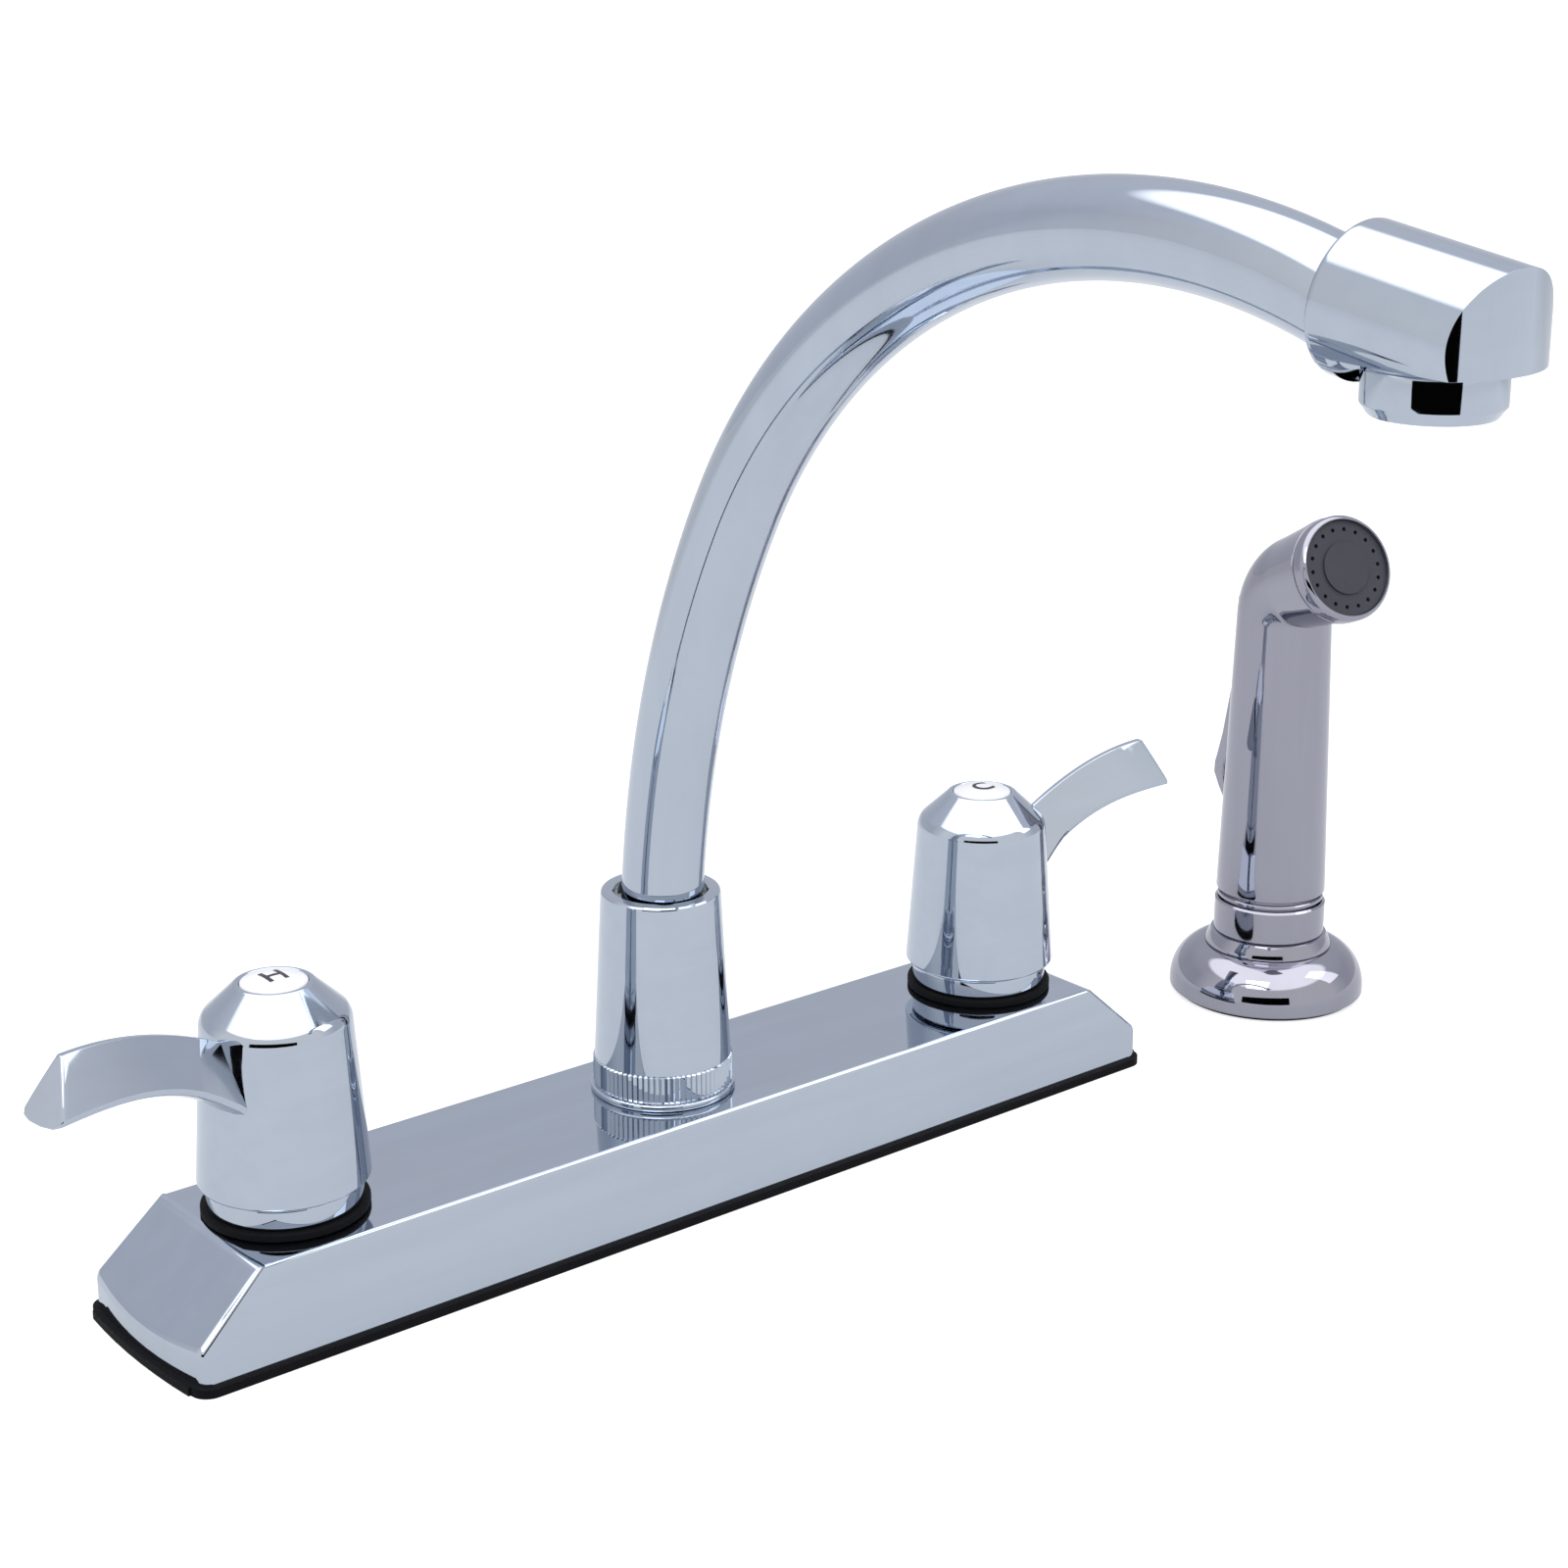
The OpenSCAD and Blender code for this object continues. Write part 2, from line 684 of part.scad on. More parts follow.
module lever() {
    sides = len(lever_section_shares);
    polyhedron(
        points = [
            for (i = [0:lever_rings], share = lever_section_shares) lever_point(i / lever_rings, share)
        ],
        faces = concat(
            [[for (k = [sides - 1:-1:0]) k]],
            [for (i = [0:lever_rings - 1], k = [0:sides - 1]) each [
                [i * sides + k, i * sides + (k + 1) % sides, (i + 1) * sides + k],
                [i * sides + (k + 1) % sides, (i + 1) * sides + (k + 1) % sides, (i + 1) * sides + k]
            ]],
            [[for (k = [0:sides - 1]) lever_rings * sides + k]]
        )
    );
}

// Handle with its lever along +X: hollow skirt, square socket, screw well and button recess
module handle() {
    top_z = shoulder_z + shoulder_height;
    color(chrome) difference() {
        union() {
            rotate_extrude() polygon([
                [0, skirt_z],
                [skirt_radius - edge_round, skirt_z],
                [skirt_radius, skirt_z + edge_round],
                [shoulder_radius, shoulder_z - edge_round],
                [shoulder_radius - edge_round, shoulder_z + edge_round],
                [button_radius + button_rim, top_z],
                [0, top_z]
            ]);
            lever();
        }
        translate([0, 0, skirt_z - cut_over])
            cylinder(h = skirt_depth + cut_over, r = skirt_radius - handle_wall);
        translate([-stem_square / 2 - seat_fit, -stem_square / 2 - seat_fit, handle_floor_z - cut_over])
            cube([stem_square + 2 * seat_fit, stem_square + 2 * seat_fit, socket_depth + cut_over]);
        translate([0, 0, socket_top_z - cut_over])
            cylinder(h = screw_seat_z - socket_top_z + 2 * cut_over, r = screw_radius + slide_fit);
        translate([0, 0, screw_seat_z])
            cylinder(h = top_z - screw_seat_z, r = screw_head_radius + running_gap);
        translate([0, 0, button_seat_z]) cylinder(h = button_edge + cut_over, r = button_radius + seat_fit);
    }
}

module hot_handle() {
    at_hot() rotate([0, 0, 180 + hot_lever_turn]) handle();
}

module cold_handle() {
    at_cold() handle();
}

module handle_screw() {
    color(steel_tone) {
        translate([0, 0, screw_seat_z - screw_reach + slide_fit])
            cylinder(h = screw_reach, r = screw_radius);
        difference() {
            translate([0, 0, screw_seat_z]) cylinder(h = screw_head_height, r = screw_head_radius);
            for (turn = [0, 90]) rotate([0, 0, turn]) translate([0, 0, screw_seat_z + screw_head_height])
                cube([screw_head_radius, screw_radius / 2, screw_head_height], center = true);
        }
    }
}

module hot_handle_screw() {
    at_hot() handle_screw();
}

module cold_handle_screw() {
    at_cold() handle_screw();
}

// Index button with a shallow domed face
module index_button() {
    dome_radius = (button_radius * button_radius + button_dome * button_dome) / (2 * button_dome);
    dome_top_z = button_seat_z + button_edge + button_dome;
    color(white_tone) intersection() {
        translate([0, 0, button_seat_z]) cylinder(h = button_edge + button_dome, r = button_radius);
        translate([0, 0, dome_top_z - dome_radius]) sphere(r = dome_radius);
    }
}

module hot_index_button() {
    at_hot() index_button();
}

module cold_index_button() {
    at_cold() index_button();
}

// Bright ring on the plate that carries the sleeve
module spout_base_ring() {
    color(chrome) ring(base_ring_radius, post_radius + seat_fit, base_ring_height, base_ring_z);
}

// Tapering sleeve over the post, with a ribbed grip band at its foot
module spout_sleeve() {
    band_z = sleeve_z + grip_band_height;
    taper_radius = sleeve_foot_radius - rib_depth;
    color(chrome) difference() {
        rotate_extrude() polygon([
            [sleeve_bore, sleeve_z],
            [sleeve_foot_radius - edge_round, sleeve_z],
            [sleeve_foot_radius, sleeve_z + edge_round],
            [sleeve_foot_radius, band_z - edge_round],
            [taper_radius, band_z],
            [sleeve_top_radius, sleeve_top_z - edge_round],
            [sleeve_top_radius - edge_round, sleeve_top_z],
            [tube_radius + sleeve_gap, sleeve_top_z],
            [tube_radius + sleeve_gap, bushing_top_z + slide_fit],
            [bushing_radius + slide_fit, bushing_top_z + slide_fit],
            [bushing_radius + slide_fit, post_top_z],
            [sleeve_bore, post_top_z]
        ]);
        for (i = [0:grip_ribs - 1]) rotate([0, 0, i * 360 / grip_ribs])
            translate([sleeve_foot_radius + rib_depth / 4, 0, sleeve_z + edge_round])
                cylinder(h = grip_band_height - 2 * edge_round, r = rib_depth, $fn = 16);
    }
}

// Plain bearing ring that turns with the tube inside the sleeve
module spout_bushing() {
    color(nylon_tone) ring(bushing_radius, tube_radius + bushing_play, bushing_top_z - bushing_z, bushing_z);
}

// Ring fixed on the tube: it rests on the post and carries the spout
module spout_stop_ring() {
    color(brass_tone) ring(stop_ring_radius, tube_radius + seat_fit, stop_ring_height, post_top_z);
}

module spout_seals() {
    color(rubber_tone) for (z = spout_seal_levels)
        o_ring(tube_radius + slide_fit + seal_section / 2 - seat_fit, seal_section - 2 * seat_fit, z);
}

// One bend of the tube, from the start of bend i; its middle is set by whole and by part millimetres
module bend(i) {
    from = bend_point(i);
    r = bends[i][0];
    middle = [0, -from[0] - r * cos(from[2]), from[1] - r * sin(from[2])];
    coarse = [0, floor(middle[1]), floor(middle[2])];
    translate(coarse) translate(middle - coarse)
        rotate([90, 0, 90]) rotate_extrude(angle = bends[i][1], start = from[2])
            translate([r, 0]) difference() {
                circle(r = tube_radius);
                circle(r = tube_radius - tube_wall);
            }
}

// At the end of the tube, looking along it: +Z runs on out of the tube
module at_tube_end() {
    translate([0, -tube_end[0], tube_end[1]]) rotate([tube_end[2], 0, 0]) children();
}

module spout_tube() {
    color(chrome) {
        ring(tube_radius, tube_radius - tube_wall, bend_start - tube_foot_z, tube_foot_z);
        for (i = [0:len(bends) - 1]) bend(i);
    }
}

// At the middle of the head's rear rim: +Z runs forward along the head
module at_head() {
    translate([0, -head_rim_reach, head_rim_z]) rotate([90 + head_fall, 0, 0]) children();
}

module at_aerator() {
    translate([0, -aerator_reach, 0]) children();
}

// Cast head: round behind, rounded nose in plan, flat underside for the aerator
module spout_head() {
    bore_z = head_flat_z + aerator_thread_height + aerator_washer_height;
    top_z = head_rim_z + head_radius;
    color(chrome) difference() {
        intersection() {
            at_head() cylinder(h = 2 * head_length, r = head_radius);
            translate([0, -head_nose_axis, head_flat_z - head_radius])
                linear_extrude(top_z - head_flat_z + 2 * head_radius) {
                circle(r = head_nose_radius);
                translate([-head_diameter, 0]) square([2 * head_diameter, 2 * head_length]);
            }
        }
        translate([-head_diameter, -head_nose_reach - head_diameter, head_flat_z - head_diameter])
            cube([
                2 * head_diameter,
                head_nose_reach + head_diameter - aerator_reach + aerator_radius + button_rim,
                head_diameter
            ]);
        at_tube_end() translate([0, 0, -2 * head_radius])
            cylinder(h = 2 * head_radius, r = tube_radius + seat_fit);
        at_head() translate([0, 0, tube_insert - cut_over])
            cylinder(h = head_rim_to_aerator - tube_insert + cut_over, r = head_channel_radius);
        at_aerator() translate([0, 0, head_flat_z - cut_over])
            cylinder(h = bore_z - head_flat_z + cut_over, r = aerator_thread_radius + seat_fit);
        at_aerator() translate([0, 0, bore_z - cut_over])
            cylinder(h = cut_over + head_wall, r = head_channel_radius + head_wall);
    }
}

module aerator_housing() {
    color(chrome) at_aerator() difference() {
        rotate_extrude() polygon([
            [aerator_bore - aerator_lip, aerator_foot_z],
            [aerator_radius - 2 * edge_round, aerator_foot_z],
            [aerator_radius, aerator_foot_z + 2 * edge_round],
            [aerator_radius, head_flat_z],
            [aerator_thread_radius, head_flat_z],
            [aerator_thread_radius, head_flat_z + aerator_thread_height],
            [aerator_bore + seat_fit, head_flat_z + aerator_thread_height],
            [aerator_bore + seat_fit, aerator_foot_z + aerator_lip],
            [aerator_bore - aerator_lip, aerator_foot_z + aerator_lip]
        ]);
    }
}

// Perforated disc: rings of holes round a middle one
module aerator_screen() {
    color(steel_tone) at_aerator() translate([0, 0, aerator_foot_z + aerator_lip]) difference() {
        cylinder(h = screen_height, r = aerator_bore);
        for (k = [1:screen_rings], i = [0:6 * k - 1]) rotate([0, 0, i * 60 / k])
            translate([k * screen_pitch, 0, -cut_over])
                cylinder(h = screen_height + 2 * cut_over, r = screen_hole);
    }
}

module aerator_insert() {
    foot_z = aerator_foot_z + aerator_lip + screen_height;
    color(nylon_tone) at_aerator() translate([0, 0, foot_z]) difference() {
        cylinder(h = insert_height, r = aerator_bore);
        translate([0, 0, insert_height - head_wall])
            cylinder(h = head_wall + cut_over, r = aerator_bore - aerator_lip);
        for (i = [0:11]) rotate([0, 0, i * 30])
            translate([aerator_bore - head_wall, 0, -cut_over]) cylinder(h = insert_height, r = screen_hole);
    }
}

module aerator_washer() {
    color(rubber_tone) at_aerator() ring(
        aerator_thread_radius, aerator_bore - aerator_lip, aerator_washer_height,
        head_flat_z + aerator_thread_height);
}

module diverter_valve() {
    color(nylon_tone) translate([0, 0, diverter_floor_z + diverter_seat_height]) difference() {
        cylinder(h = diverter_height, r = diverter_radius);
        translate([0, 0, -cut_over])
            cylinder(h = diverter_height - head_wall + cut_over, r = diverter_radius / 2);
    }
}

// Soft seat that the diverter valve rests on
module diverter_seat() {
    color(rubber_tone)
        ring(diverter_radius, diverter_radius - diverter_seat_wall, diverter_seat_height, diverter_floor_z);
}

module sprayer_gasket() {
    color(rubber_tone) at_sprayer()
        ring(bell_radius - bell_edge, holder_radius + soft_fit, spray_gasket_height, 0);
}

// Outline of the bell: a quarter ellipse between its flared ring and its edge
function bell_point(turn, skin) = let (
        rise = bell_height - bell_edge - skin,
        reach = bell_radius - collar_neck_radius - skin / 2
    ) [collar_neck_radius - skin / 2 + reach * cos(turn), spray_gasket_height + bell_edge + rise * sin(turn)];

module sprayer_flange() {
    step = 6;
    neck_z = spray_gasket_height + bell_height;
    color(chrome) at_sprayer() rotate_extrude() polygon(concat(
        [[bell_radius - edge_round, spray_gasket_height], [bell_radius, spray_gasket_height + edge_round]],
        [for (turn = [0:step:90]) bell_point(turn, 0)],
        [
            [flare_radius, neck_z + 2 * edge_round],
            [flare_radius - 2 * edge_round, flange_top_z - edge_round],
            [spray_collar_radius, flange_top_z],
            [coupling_radius + flange_wall, flange_top_z],
            [coupling_radius + flange_wall, holder_top_z],
            [holder_radius + seat_fit, holder_top_z],
            [holder_radius + seat_fit, neck_z - flange_wall]
        ],
        [for (turn = [90:-step:0]) bell_point(turn, flange_wall)],
        [[bell_radius - flange_wall - edge_round, spray_gasket_height]]
    ));
}

// Liner and threaded shank of the sprayer's holder
module sprayer_holder() {
    color(nylon_tone) at_sprayer() {
        ring(holder_radius, holder_radius - holder_wall, holder_top_z + holder_thread, -holder_thread);
        ring(
            holder_radius - end_step,
            holder_radius - holder_wall,
            -holder_thread - holder_foot_z,
            holder_foot_z
        );
    }
}

module sprayer_washer() {
    color(steel_tone) at_sprayer()
        ring(
            spray_washer_radius, holder_radius + seat_fit, washer_height, -counter_thickness - washer_height);
}

module sprayer_nut() {
    color(brass_tone) at_sprayer()
        translate([0, 0, -counter_thickness - washer_height - spray_nut_height]) difference() {
            cylinder(h = spray_nut_height, r = spray_nut_radius, $fn = nut_sides);
            translate([0, 0, -cut_over])
                cylinder(h = spray_nut_height + 2 * cut_over, r = holder_radius + seat_fit);
        }
}

// Collar that screws the hose to the grip and rests on the flange
module sprayer_collar() {
    ring_top_z = collar_ring_z + collar_ring_height;
    color(chrome) at_sprayer() rotate_extrude() polygon([
        [coupling_radius + seat_fit, flange_top_z],
        [spray_collar_radius - edge_round, flange_top_z],
        [spray_collar_radius, flange_top_z + edge_round],
        [spray_collar_radius, spray_collar_top_z - edge_round],
        [spray_collar_radius - edge_round, spray_collar_top_z],
        [grip_groove_radius, spray_collar_top_z],
        [grip_groove_radius, collar_ring_z],
        [collar_ring_radius, collar_ring_z],
        [collar_ring_radius, ring_top_z],
        [grip_groove_radius, ring_top_z],
        [grip_groove_radius, grip_z],
        [coupling_radius + seat_fit, grip_z]
    ]);
}

// Hose coupling: from the tail inside the holder up into the grip
module hose_coupling() {
    color(brass_tone) at_sprayer() difference() {
        union() {
            translate([0, 0, coupling_foot_z])
                cylinder(h = coupling_top_z - coupling_foot_z, r = coupling_radius);
            translate([0, 0, coupling_foot_z - coupling_barb_height])
                cylinder(h = coupling_barb_height, r = coupling_barb_radius);
        }
        translate([0, 0, coupling_foot_z - coupling_barb_height - cut_over])
            cylinder(
                h = coupling_top_z - coupling_foot_z + coupling_barb_height + 2 * cut_over,
                r = coupling_bore
            );
    }
}

// In the sprayer's own frame, where the grip and the head meet: +Z runs out through the spray face
module at_spray_head() {
    translate([0, 0, elbow_level]) rotate([elbow_turn, 0, 0]) children();
}

// Round rod up from a ball at its foot
module ball_ended(ball_radius, foot_radius, top_radius, height) {
    rotate_extrude() {
        intersection() {
            circle(r = ball_radius);
            translate([0, -ball_radius]) square([ball_radius, 2 * ball_radius]);
        }
        polygon([[0, 0], [foot_radius, 0], [top_radius, height], [0, height]]);
    }
}

module sprayer_body() {
    ring_start = spray_head_length - face_ring_depth;
    color(chrome) spray_facing() difference() {
        union() {
            translate([0, 0, grip_z])
                cylinder(h = elbow_level - grip_z, r1 = grip_foot_radius, r2 = grip_top_radius);
            at_spray_head() ball_ended(
                grip_top_radius + elbow_swell, grip_top_radius, spray_head_radius, ring_start);
        }
        translate([0, 0, grip_z - cut_over])
            cylinder(h = grip_bore_top_z - grip_z + cut_over, r = coupling_radius + seat_fit);
        translate([0, 0, grip_bore_top_z - cut_over])
            cylinder(h = elbow_level - grip_bore_top_z + cut_over, r = water_bore);
        at_spray_head() ball_ended(water_bore + elbow_swell, water_bore, water_bore, ring_start);
        at_spray_head() translate([0, 0, ring_start - head_chamber_depth])
            cylinder(h = head_chamber_depth + cut_over, r = head_chamber_radius);
        trigger_slot();
        translate([trigger_pin_foot - seat_fit, trigger_pivot_back, trigger_pivot_z]) rotate([0, 90, 0])
            cylinder(h = 2 * spray_head_radius, r = trigger_pin_radius + seat_fit);
        translate([0, valve_bore_end, valve_z]) rotate([-90, 0, 0])
            cylinder(h = trigger_slot_back - valve_bore_end + cut_over, r = valve_stem_radius + slide_fit);
    }
}

module trigger_slot() {
    slot_width = trigger_width + 2 * trigger_slot_gap;
    translate([-slot_width / 2, trigger_slot_back, trigger_slot_foot_z])
        cube([slot_width, 2 * spray_head_radius, trigger_pivot_z + trigger_knuckle + trigger_slot_gap
            - trigger_slot_foot_z]);
}

module spray_face_ring() {
    color(chrome) spray_facing() at_spray_head()
        ring(spray_head_radius, face_radius + seat_fit, face_ring_depth, spray_head_length - face_ring_depth);
}

// Spray face: a ring of holes round a raised disc
module spray_face() {
    front = spray_head_length - 2 * center_disc_rise;
    color(face_tone) spray_facing() at_spray_head() difference() {
        union() {
            translate([0, 0, front - face_thickness]) cylinder(h = face_thickness, r = face_radius);
            translate([0, 0, front]) cylinder(h = center_disc_rise, r = center_disc_share * face_radius);
        }
        for (i = [0:spray_holes - 1]) rotate([0, 0, i * 360 / spray_holes])
            translate([spray_hole_circle_share * face_radius, 0, front - face_thickness - cut_over])
                cylinder(h = face_thickness + 2 * cut_over, r = spray_hole_radius, $fn = 24);
    }
}

module spray_trigger() {
    color(chrome) spray_facing() difference() {
        union() {
            translate([0, trigger_pivot_back, trigger_pivot_z]) rotate([0, 90, 0])
                cylinder(h = trigger_width, r = trigger_knuckle, center = true);
            translate([0, trigger_pivot_back, trigger_pivot_z]) rotate([90, 0, 90])
                linear_extrude(trigger_width, center = true) polygon([
                    for (share = trigger_outline_shares) [share[0] * trigger_kick, -share[1] * trigger_length]
                ]);
        }
        translate([0, trigger_pivot_back, trigger_pivot_z]) rotate([0, 90, 0])
            cylinder(h = 2 * trigger_width, r = trigger_pin_radius + seat_fit, center = true);
    }
}

module trigger_pin() {
    color(steel_tone) spray_facing() translate([trigger_pin_foot, trigger_pivot_back, trigger_pivot_z])
        rotate([0, 90, 0]) cylinder(h = trigger_pin_length, r = trigger_pin_radius);
}

// Return spring round the valve stem, between the slot floor and the trigger
module trigger_spring() {
    color(steel_tone) spray_facing() translate([0, trigger_slot_back, valve_z]) rotate([-90, 0, 0])
        ring(valve_stem_radius + trigger_spring_wall, valve_stem_radius + slide_fit, trigger_spring_height);
}

module spray_valve() {
    color(brass_tone) spray_facing() translate([0, valve_stem_foot, valve_z]) rotate([-90, 0, 0])
        cylinder(h = valve_stem_end - valve_stem_foot, r = valve_stem_radius);
}

deck_plate();
deck_gasket();
hot_valve_body();
cold_valve_body();
center_body();
hot_supply_tube();
cold_supply_tube();
mounting_nuts();
mounting_washers();
seat_springs();
valve_seats();
hot_cartridge();
cold_cartridge();
stem_seals();
bonnet_collars();
collar_washers();
hot_stem();
cold_stem();
hot_handle();
cold_handle();
hot_handle_screw();
cold_handle_screw();
hot_index_button();
cold_index_button();
spout_base_ring();
spout_sleeve();
spout_bushing();
spout_stop_ring();
spout_seals();
spout_tube();
spout_head();
aerator_housing();
aerator_insert();
aerator_screen();
aerator_washer();
diverter_valve();
diverter_seat();
sprayer_gasket();
sprayer_flange();
sprayer_holder();
sprayer_washer();
sprayer_nut();
sprayer_collar();
hose_coupling();
sprayer_body();
spray_face_ring();
spray_face();
spray_trigger();
trigger_pin();
trigger_spring();
spray_valve();
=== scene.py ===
"""Two handle kitchen faucet with a side sprayer: plated shells, buttons, finishes and studio."""

import json
import math
from types import SimpleNamespace

import bmesh
import bpy
from bpy.props import FloatProperty, FloatVectorProperty, IntProperty, PointerProperty
from mathutils import Matrix, Vector


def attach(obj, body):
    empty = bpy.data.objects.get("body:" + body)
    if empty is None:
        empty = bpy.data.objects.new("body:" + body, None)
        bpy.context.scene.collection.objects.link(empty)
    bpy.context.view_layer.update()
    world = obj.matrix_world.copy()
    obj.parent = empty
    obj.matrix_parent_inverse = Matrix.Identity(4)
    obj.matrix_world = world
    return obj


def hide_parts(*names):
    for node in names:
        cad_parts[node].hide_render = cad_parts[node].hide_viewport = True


bl_info = {
    "name": "Two handle kitchen faucet",
    "version": (1, 0, 0),
    "blender": (4, 5, 0),
    "location": "3D View > Sidebar > Faucet",
    "description": "Dresses the faucet with plated shells, buttons, finishes and a studio",
    "category": "Object",
}

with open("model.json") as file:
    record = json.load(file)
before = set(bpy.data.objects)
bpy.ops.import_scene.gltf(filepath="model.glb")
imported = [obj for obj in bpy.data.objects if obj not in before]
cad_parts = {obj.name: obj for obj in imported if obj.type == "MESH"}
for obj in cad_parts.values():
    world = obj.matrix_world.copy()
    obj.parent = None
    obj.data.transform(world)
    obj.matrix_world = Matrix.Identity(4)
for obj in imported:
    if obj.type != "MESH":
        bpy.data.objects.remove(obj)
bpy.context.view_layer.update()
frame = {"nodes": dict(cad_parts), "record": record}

BMVert, BMEdge, BMFace = bmesh.types.BMVert, bmesh.types.BMEdge, bmesh.types.BMFace
MM = 0.001  # in metres
WELD = 0.002  # distance in millimetres within which points become one
FULL_TURN = 2 * math.pi


def length(name, millimetres, description):
    return FloatProperty(name=name, description=description, default=millimetres * MM,
                         unit="LENGTH", subtype="DISTANCE", precision=5)


def turn(name, degrees, description):
    return FloatProperty(name=name, description=description, default=math.radians(degrees),
                         unit="ROTATION", subtype="ANGLE")


def colour(name, value, description):
    return FloatVectorProperty(name=name, description=description, default=value, size=3,
                               min=0.0, max=1.0, subtype="COLOR")


def share(name, value, description):
    return FloatProperty(name=name, description=description, default=value, min=0.0, max=1.0,
                         subtype="FACTOR")


class PlateSizes(bpy.types.PropertyGroup):
    top_length: length("Top length", 241, "Length of the plate's flat top")
    end_length: length("End length", 276, "Length of the plate at its foot")
    top_depth: length("Top depth", 44, "Depth of the plate's flat top")
    foot_depth: length("Foot depth", 48.6, "Depth of the plate at its foot")
    foot: length("Foot level", 2, "Level of the plate's lower edge, on its gasket")
    band: length("Band level", 7.9, "Level at which the sloping ends start")
    top: length("Top level", 23.8, "Level of the plate's top")
    wall: length("Wall", 2.2, "Thickness of the plate's shell")
    end_bow: length("End bow", 1.8, "How far the ends bulge")
    corner: length("Corner", 3, "Radius of the plan's corners")
    soft_edge: length("Soft edge", 2.4, "Rounding round the sloping ends")
    crisp_edge: length("Crisp edge", 1.0, "Rounding of the long upper edges")


class HandleSizes(bpy.types.PropertyGroup):
    offset: length("Offset", 101.6, "Distance of each handle from the spout")
    hot_turn: turn("Hot turn", 14, "How far the hot lever stands open")
    skirt_radius: length("Skirt radius", 18.7, "Radius of the handle at its foot")
    skirt: length("Skirt level", 31, "Level of the handle's lower edge")
    shoulder_radius: length("Shoulder radius", 16.1, "Radius of the handle at its shoulder")
    shoulder: length("Shoulder level", 68.4, "Level of the shoulder")
    crown: length("Crown level", 75.6, "Level of the rim round the button")
    floor: length("Floor level", 41, "Level of the hollow's ceiling under the skirt")
    wall: length("Wall", 2.6, "Thickness of the skirt")
    button_radius: length("Button radius", 7.25, "Radius of the index button")
    button_seat: length("Button seat", 73.2, "Level at which the button sits")
    button_top: length("Button top", 76.86, "Level of the button's crown")
    letter_size: length("Letter size", 7.6, "Size of the letter on the button")
    collar_radius: length("Collar radius", 16.9, "Radius of the collar under the handle")
    collar_foot: length("Collar foot", 25.7, "Level of the collar's lower edge")
    collar_top: length("Collar top", 30.6, "Level of the collar's upper edge")
    washer_radius: length("Washer radius", 18.2, "Radius of the washer under the collar")
    washer_bore: length("Washer bore", 12.65, "Radius of the washer's bore")
    washer_foot: length("Washer foot", 23.8, "Level of the washer's lower edge")
    top_reach: length("Top reach", 57, "Reach of the lever's ridge")
    foot_reach: length("Foot reach", 63, "Reach of the lever's lower tip")
    tip_half_width: length("Tip half width", 5.9, "Half the lever's width at its tip")
    root_half_width: length("Root half width", 4.6, "Half the lever's width at its neck")
    flare: length("Flare", 3.4, "How far the lever widens where it leaves the handle")


class SpoutSizes(bpy.types.PropertyGroup):
    tube_radius: length("Tube radius", 9.525, "Radius of the spout tube")
    tube_wall: length("Tube wall", 1.1, "Wall of the spout tube")
    tube_foot: length("Tube foot", 34, "Level of the tube's lower end inside the post")
    bend_start: length("Bend start", 54, "Level at which the spout starts to bend")
    easy_radius: length("Easy bend", 234, "Radius of the lower, easy bend")
    easy_turn: turn("Easy turn", 29, "Turn of the easy bend")
    main_radius: length("Main bend", 137, "Radius of the upper bend")
    main_turn: turn("Main turn", 82.5, "Turn of the upper bend")
    ring_radius: length("Ring radius", 17.06, "Radius of the ring under the sleeve")
    sleeve_foot_radius: length("Sleeve foot radius", 16.4, "Radius of the sleeve's grip band")
    sleeve_top_radius: length("Sleeve top radius", 14, "Radius of the sleeve at its top")
    sleeve: length("Sleeve level", 25.4, "Level of the sleeve's lower edge")
    sleeve_top: length("Sleeve top", 72.9, "Level of the sleeve's upper edge")
    band_height: length("Band height", 7, "Height of the ribbed grip band")
    ribs: IntProperty(name="Ribs", description="Ribs round the grip band", default=76, min=24)
    head_radius: length("Head radius", 13.5, "Radius of the spout head")
    head_rim_reach: length("Head rim reach", 194.907, "Reach of the head's rear rim")
    head_rim: length("Head rim level", 231.653, "Level of the head's axis at its rear rim")
    head_fall: turn("Head fall", 9, "Fall of the head towards its nose")
    nose_axis: length("Nose axis", 205.907, "Reach of the upright axis of the nose")
    nose_radius: length("Nose radius", 22.6, "Radius of the rounded nose in plan")
    flat: length("Flat level", 222.653, "Level of the head's flat underside")
    flat_reach: length("Flat reach", 198.75, "Reach at which the flat underside starts")
    aerator_reach: length("Aerator reach", 211.907, "Reach of the aerator's axis")
    aerator_radius: length("Aerator radius", 12.1, "Radius of the aerator housing")
    aerator_foot: length("Aerator foot", 214.253, "Level of the aerator's lower edge")
    outlet_radius: length("Outlet radius", 8, "Radius of the open outlet")


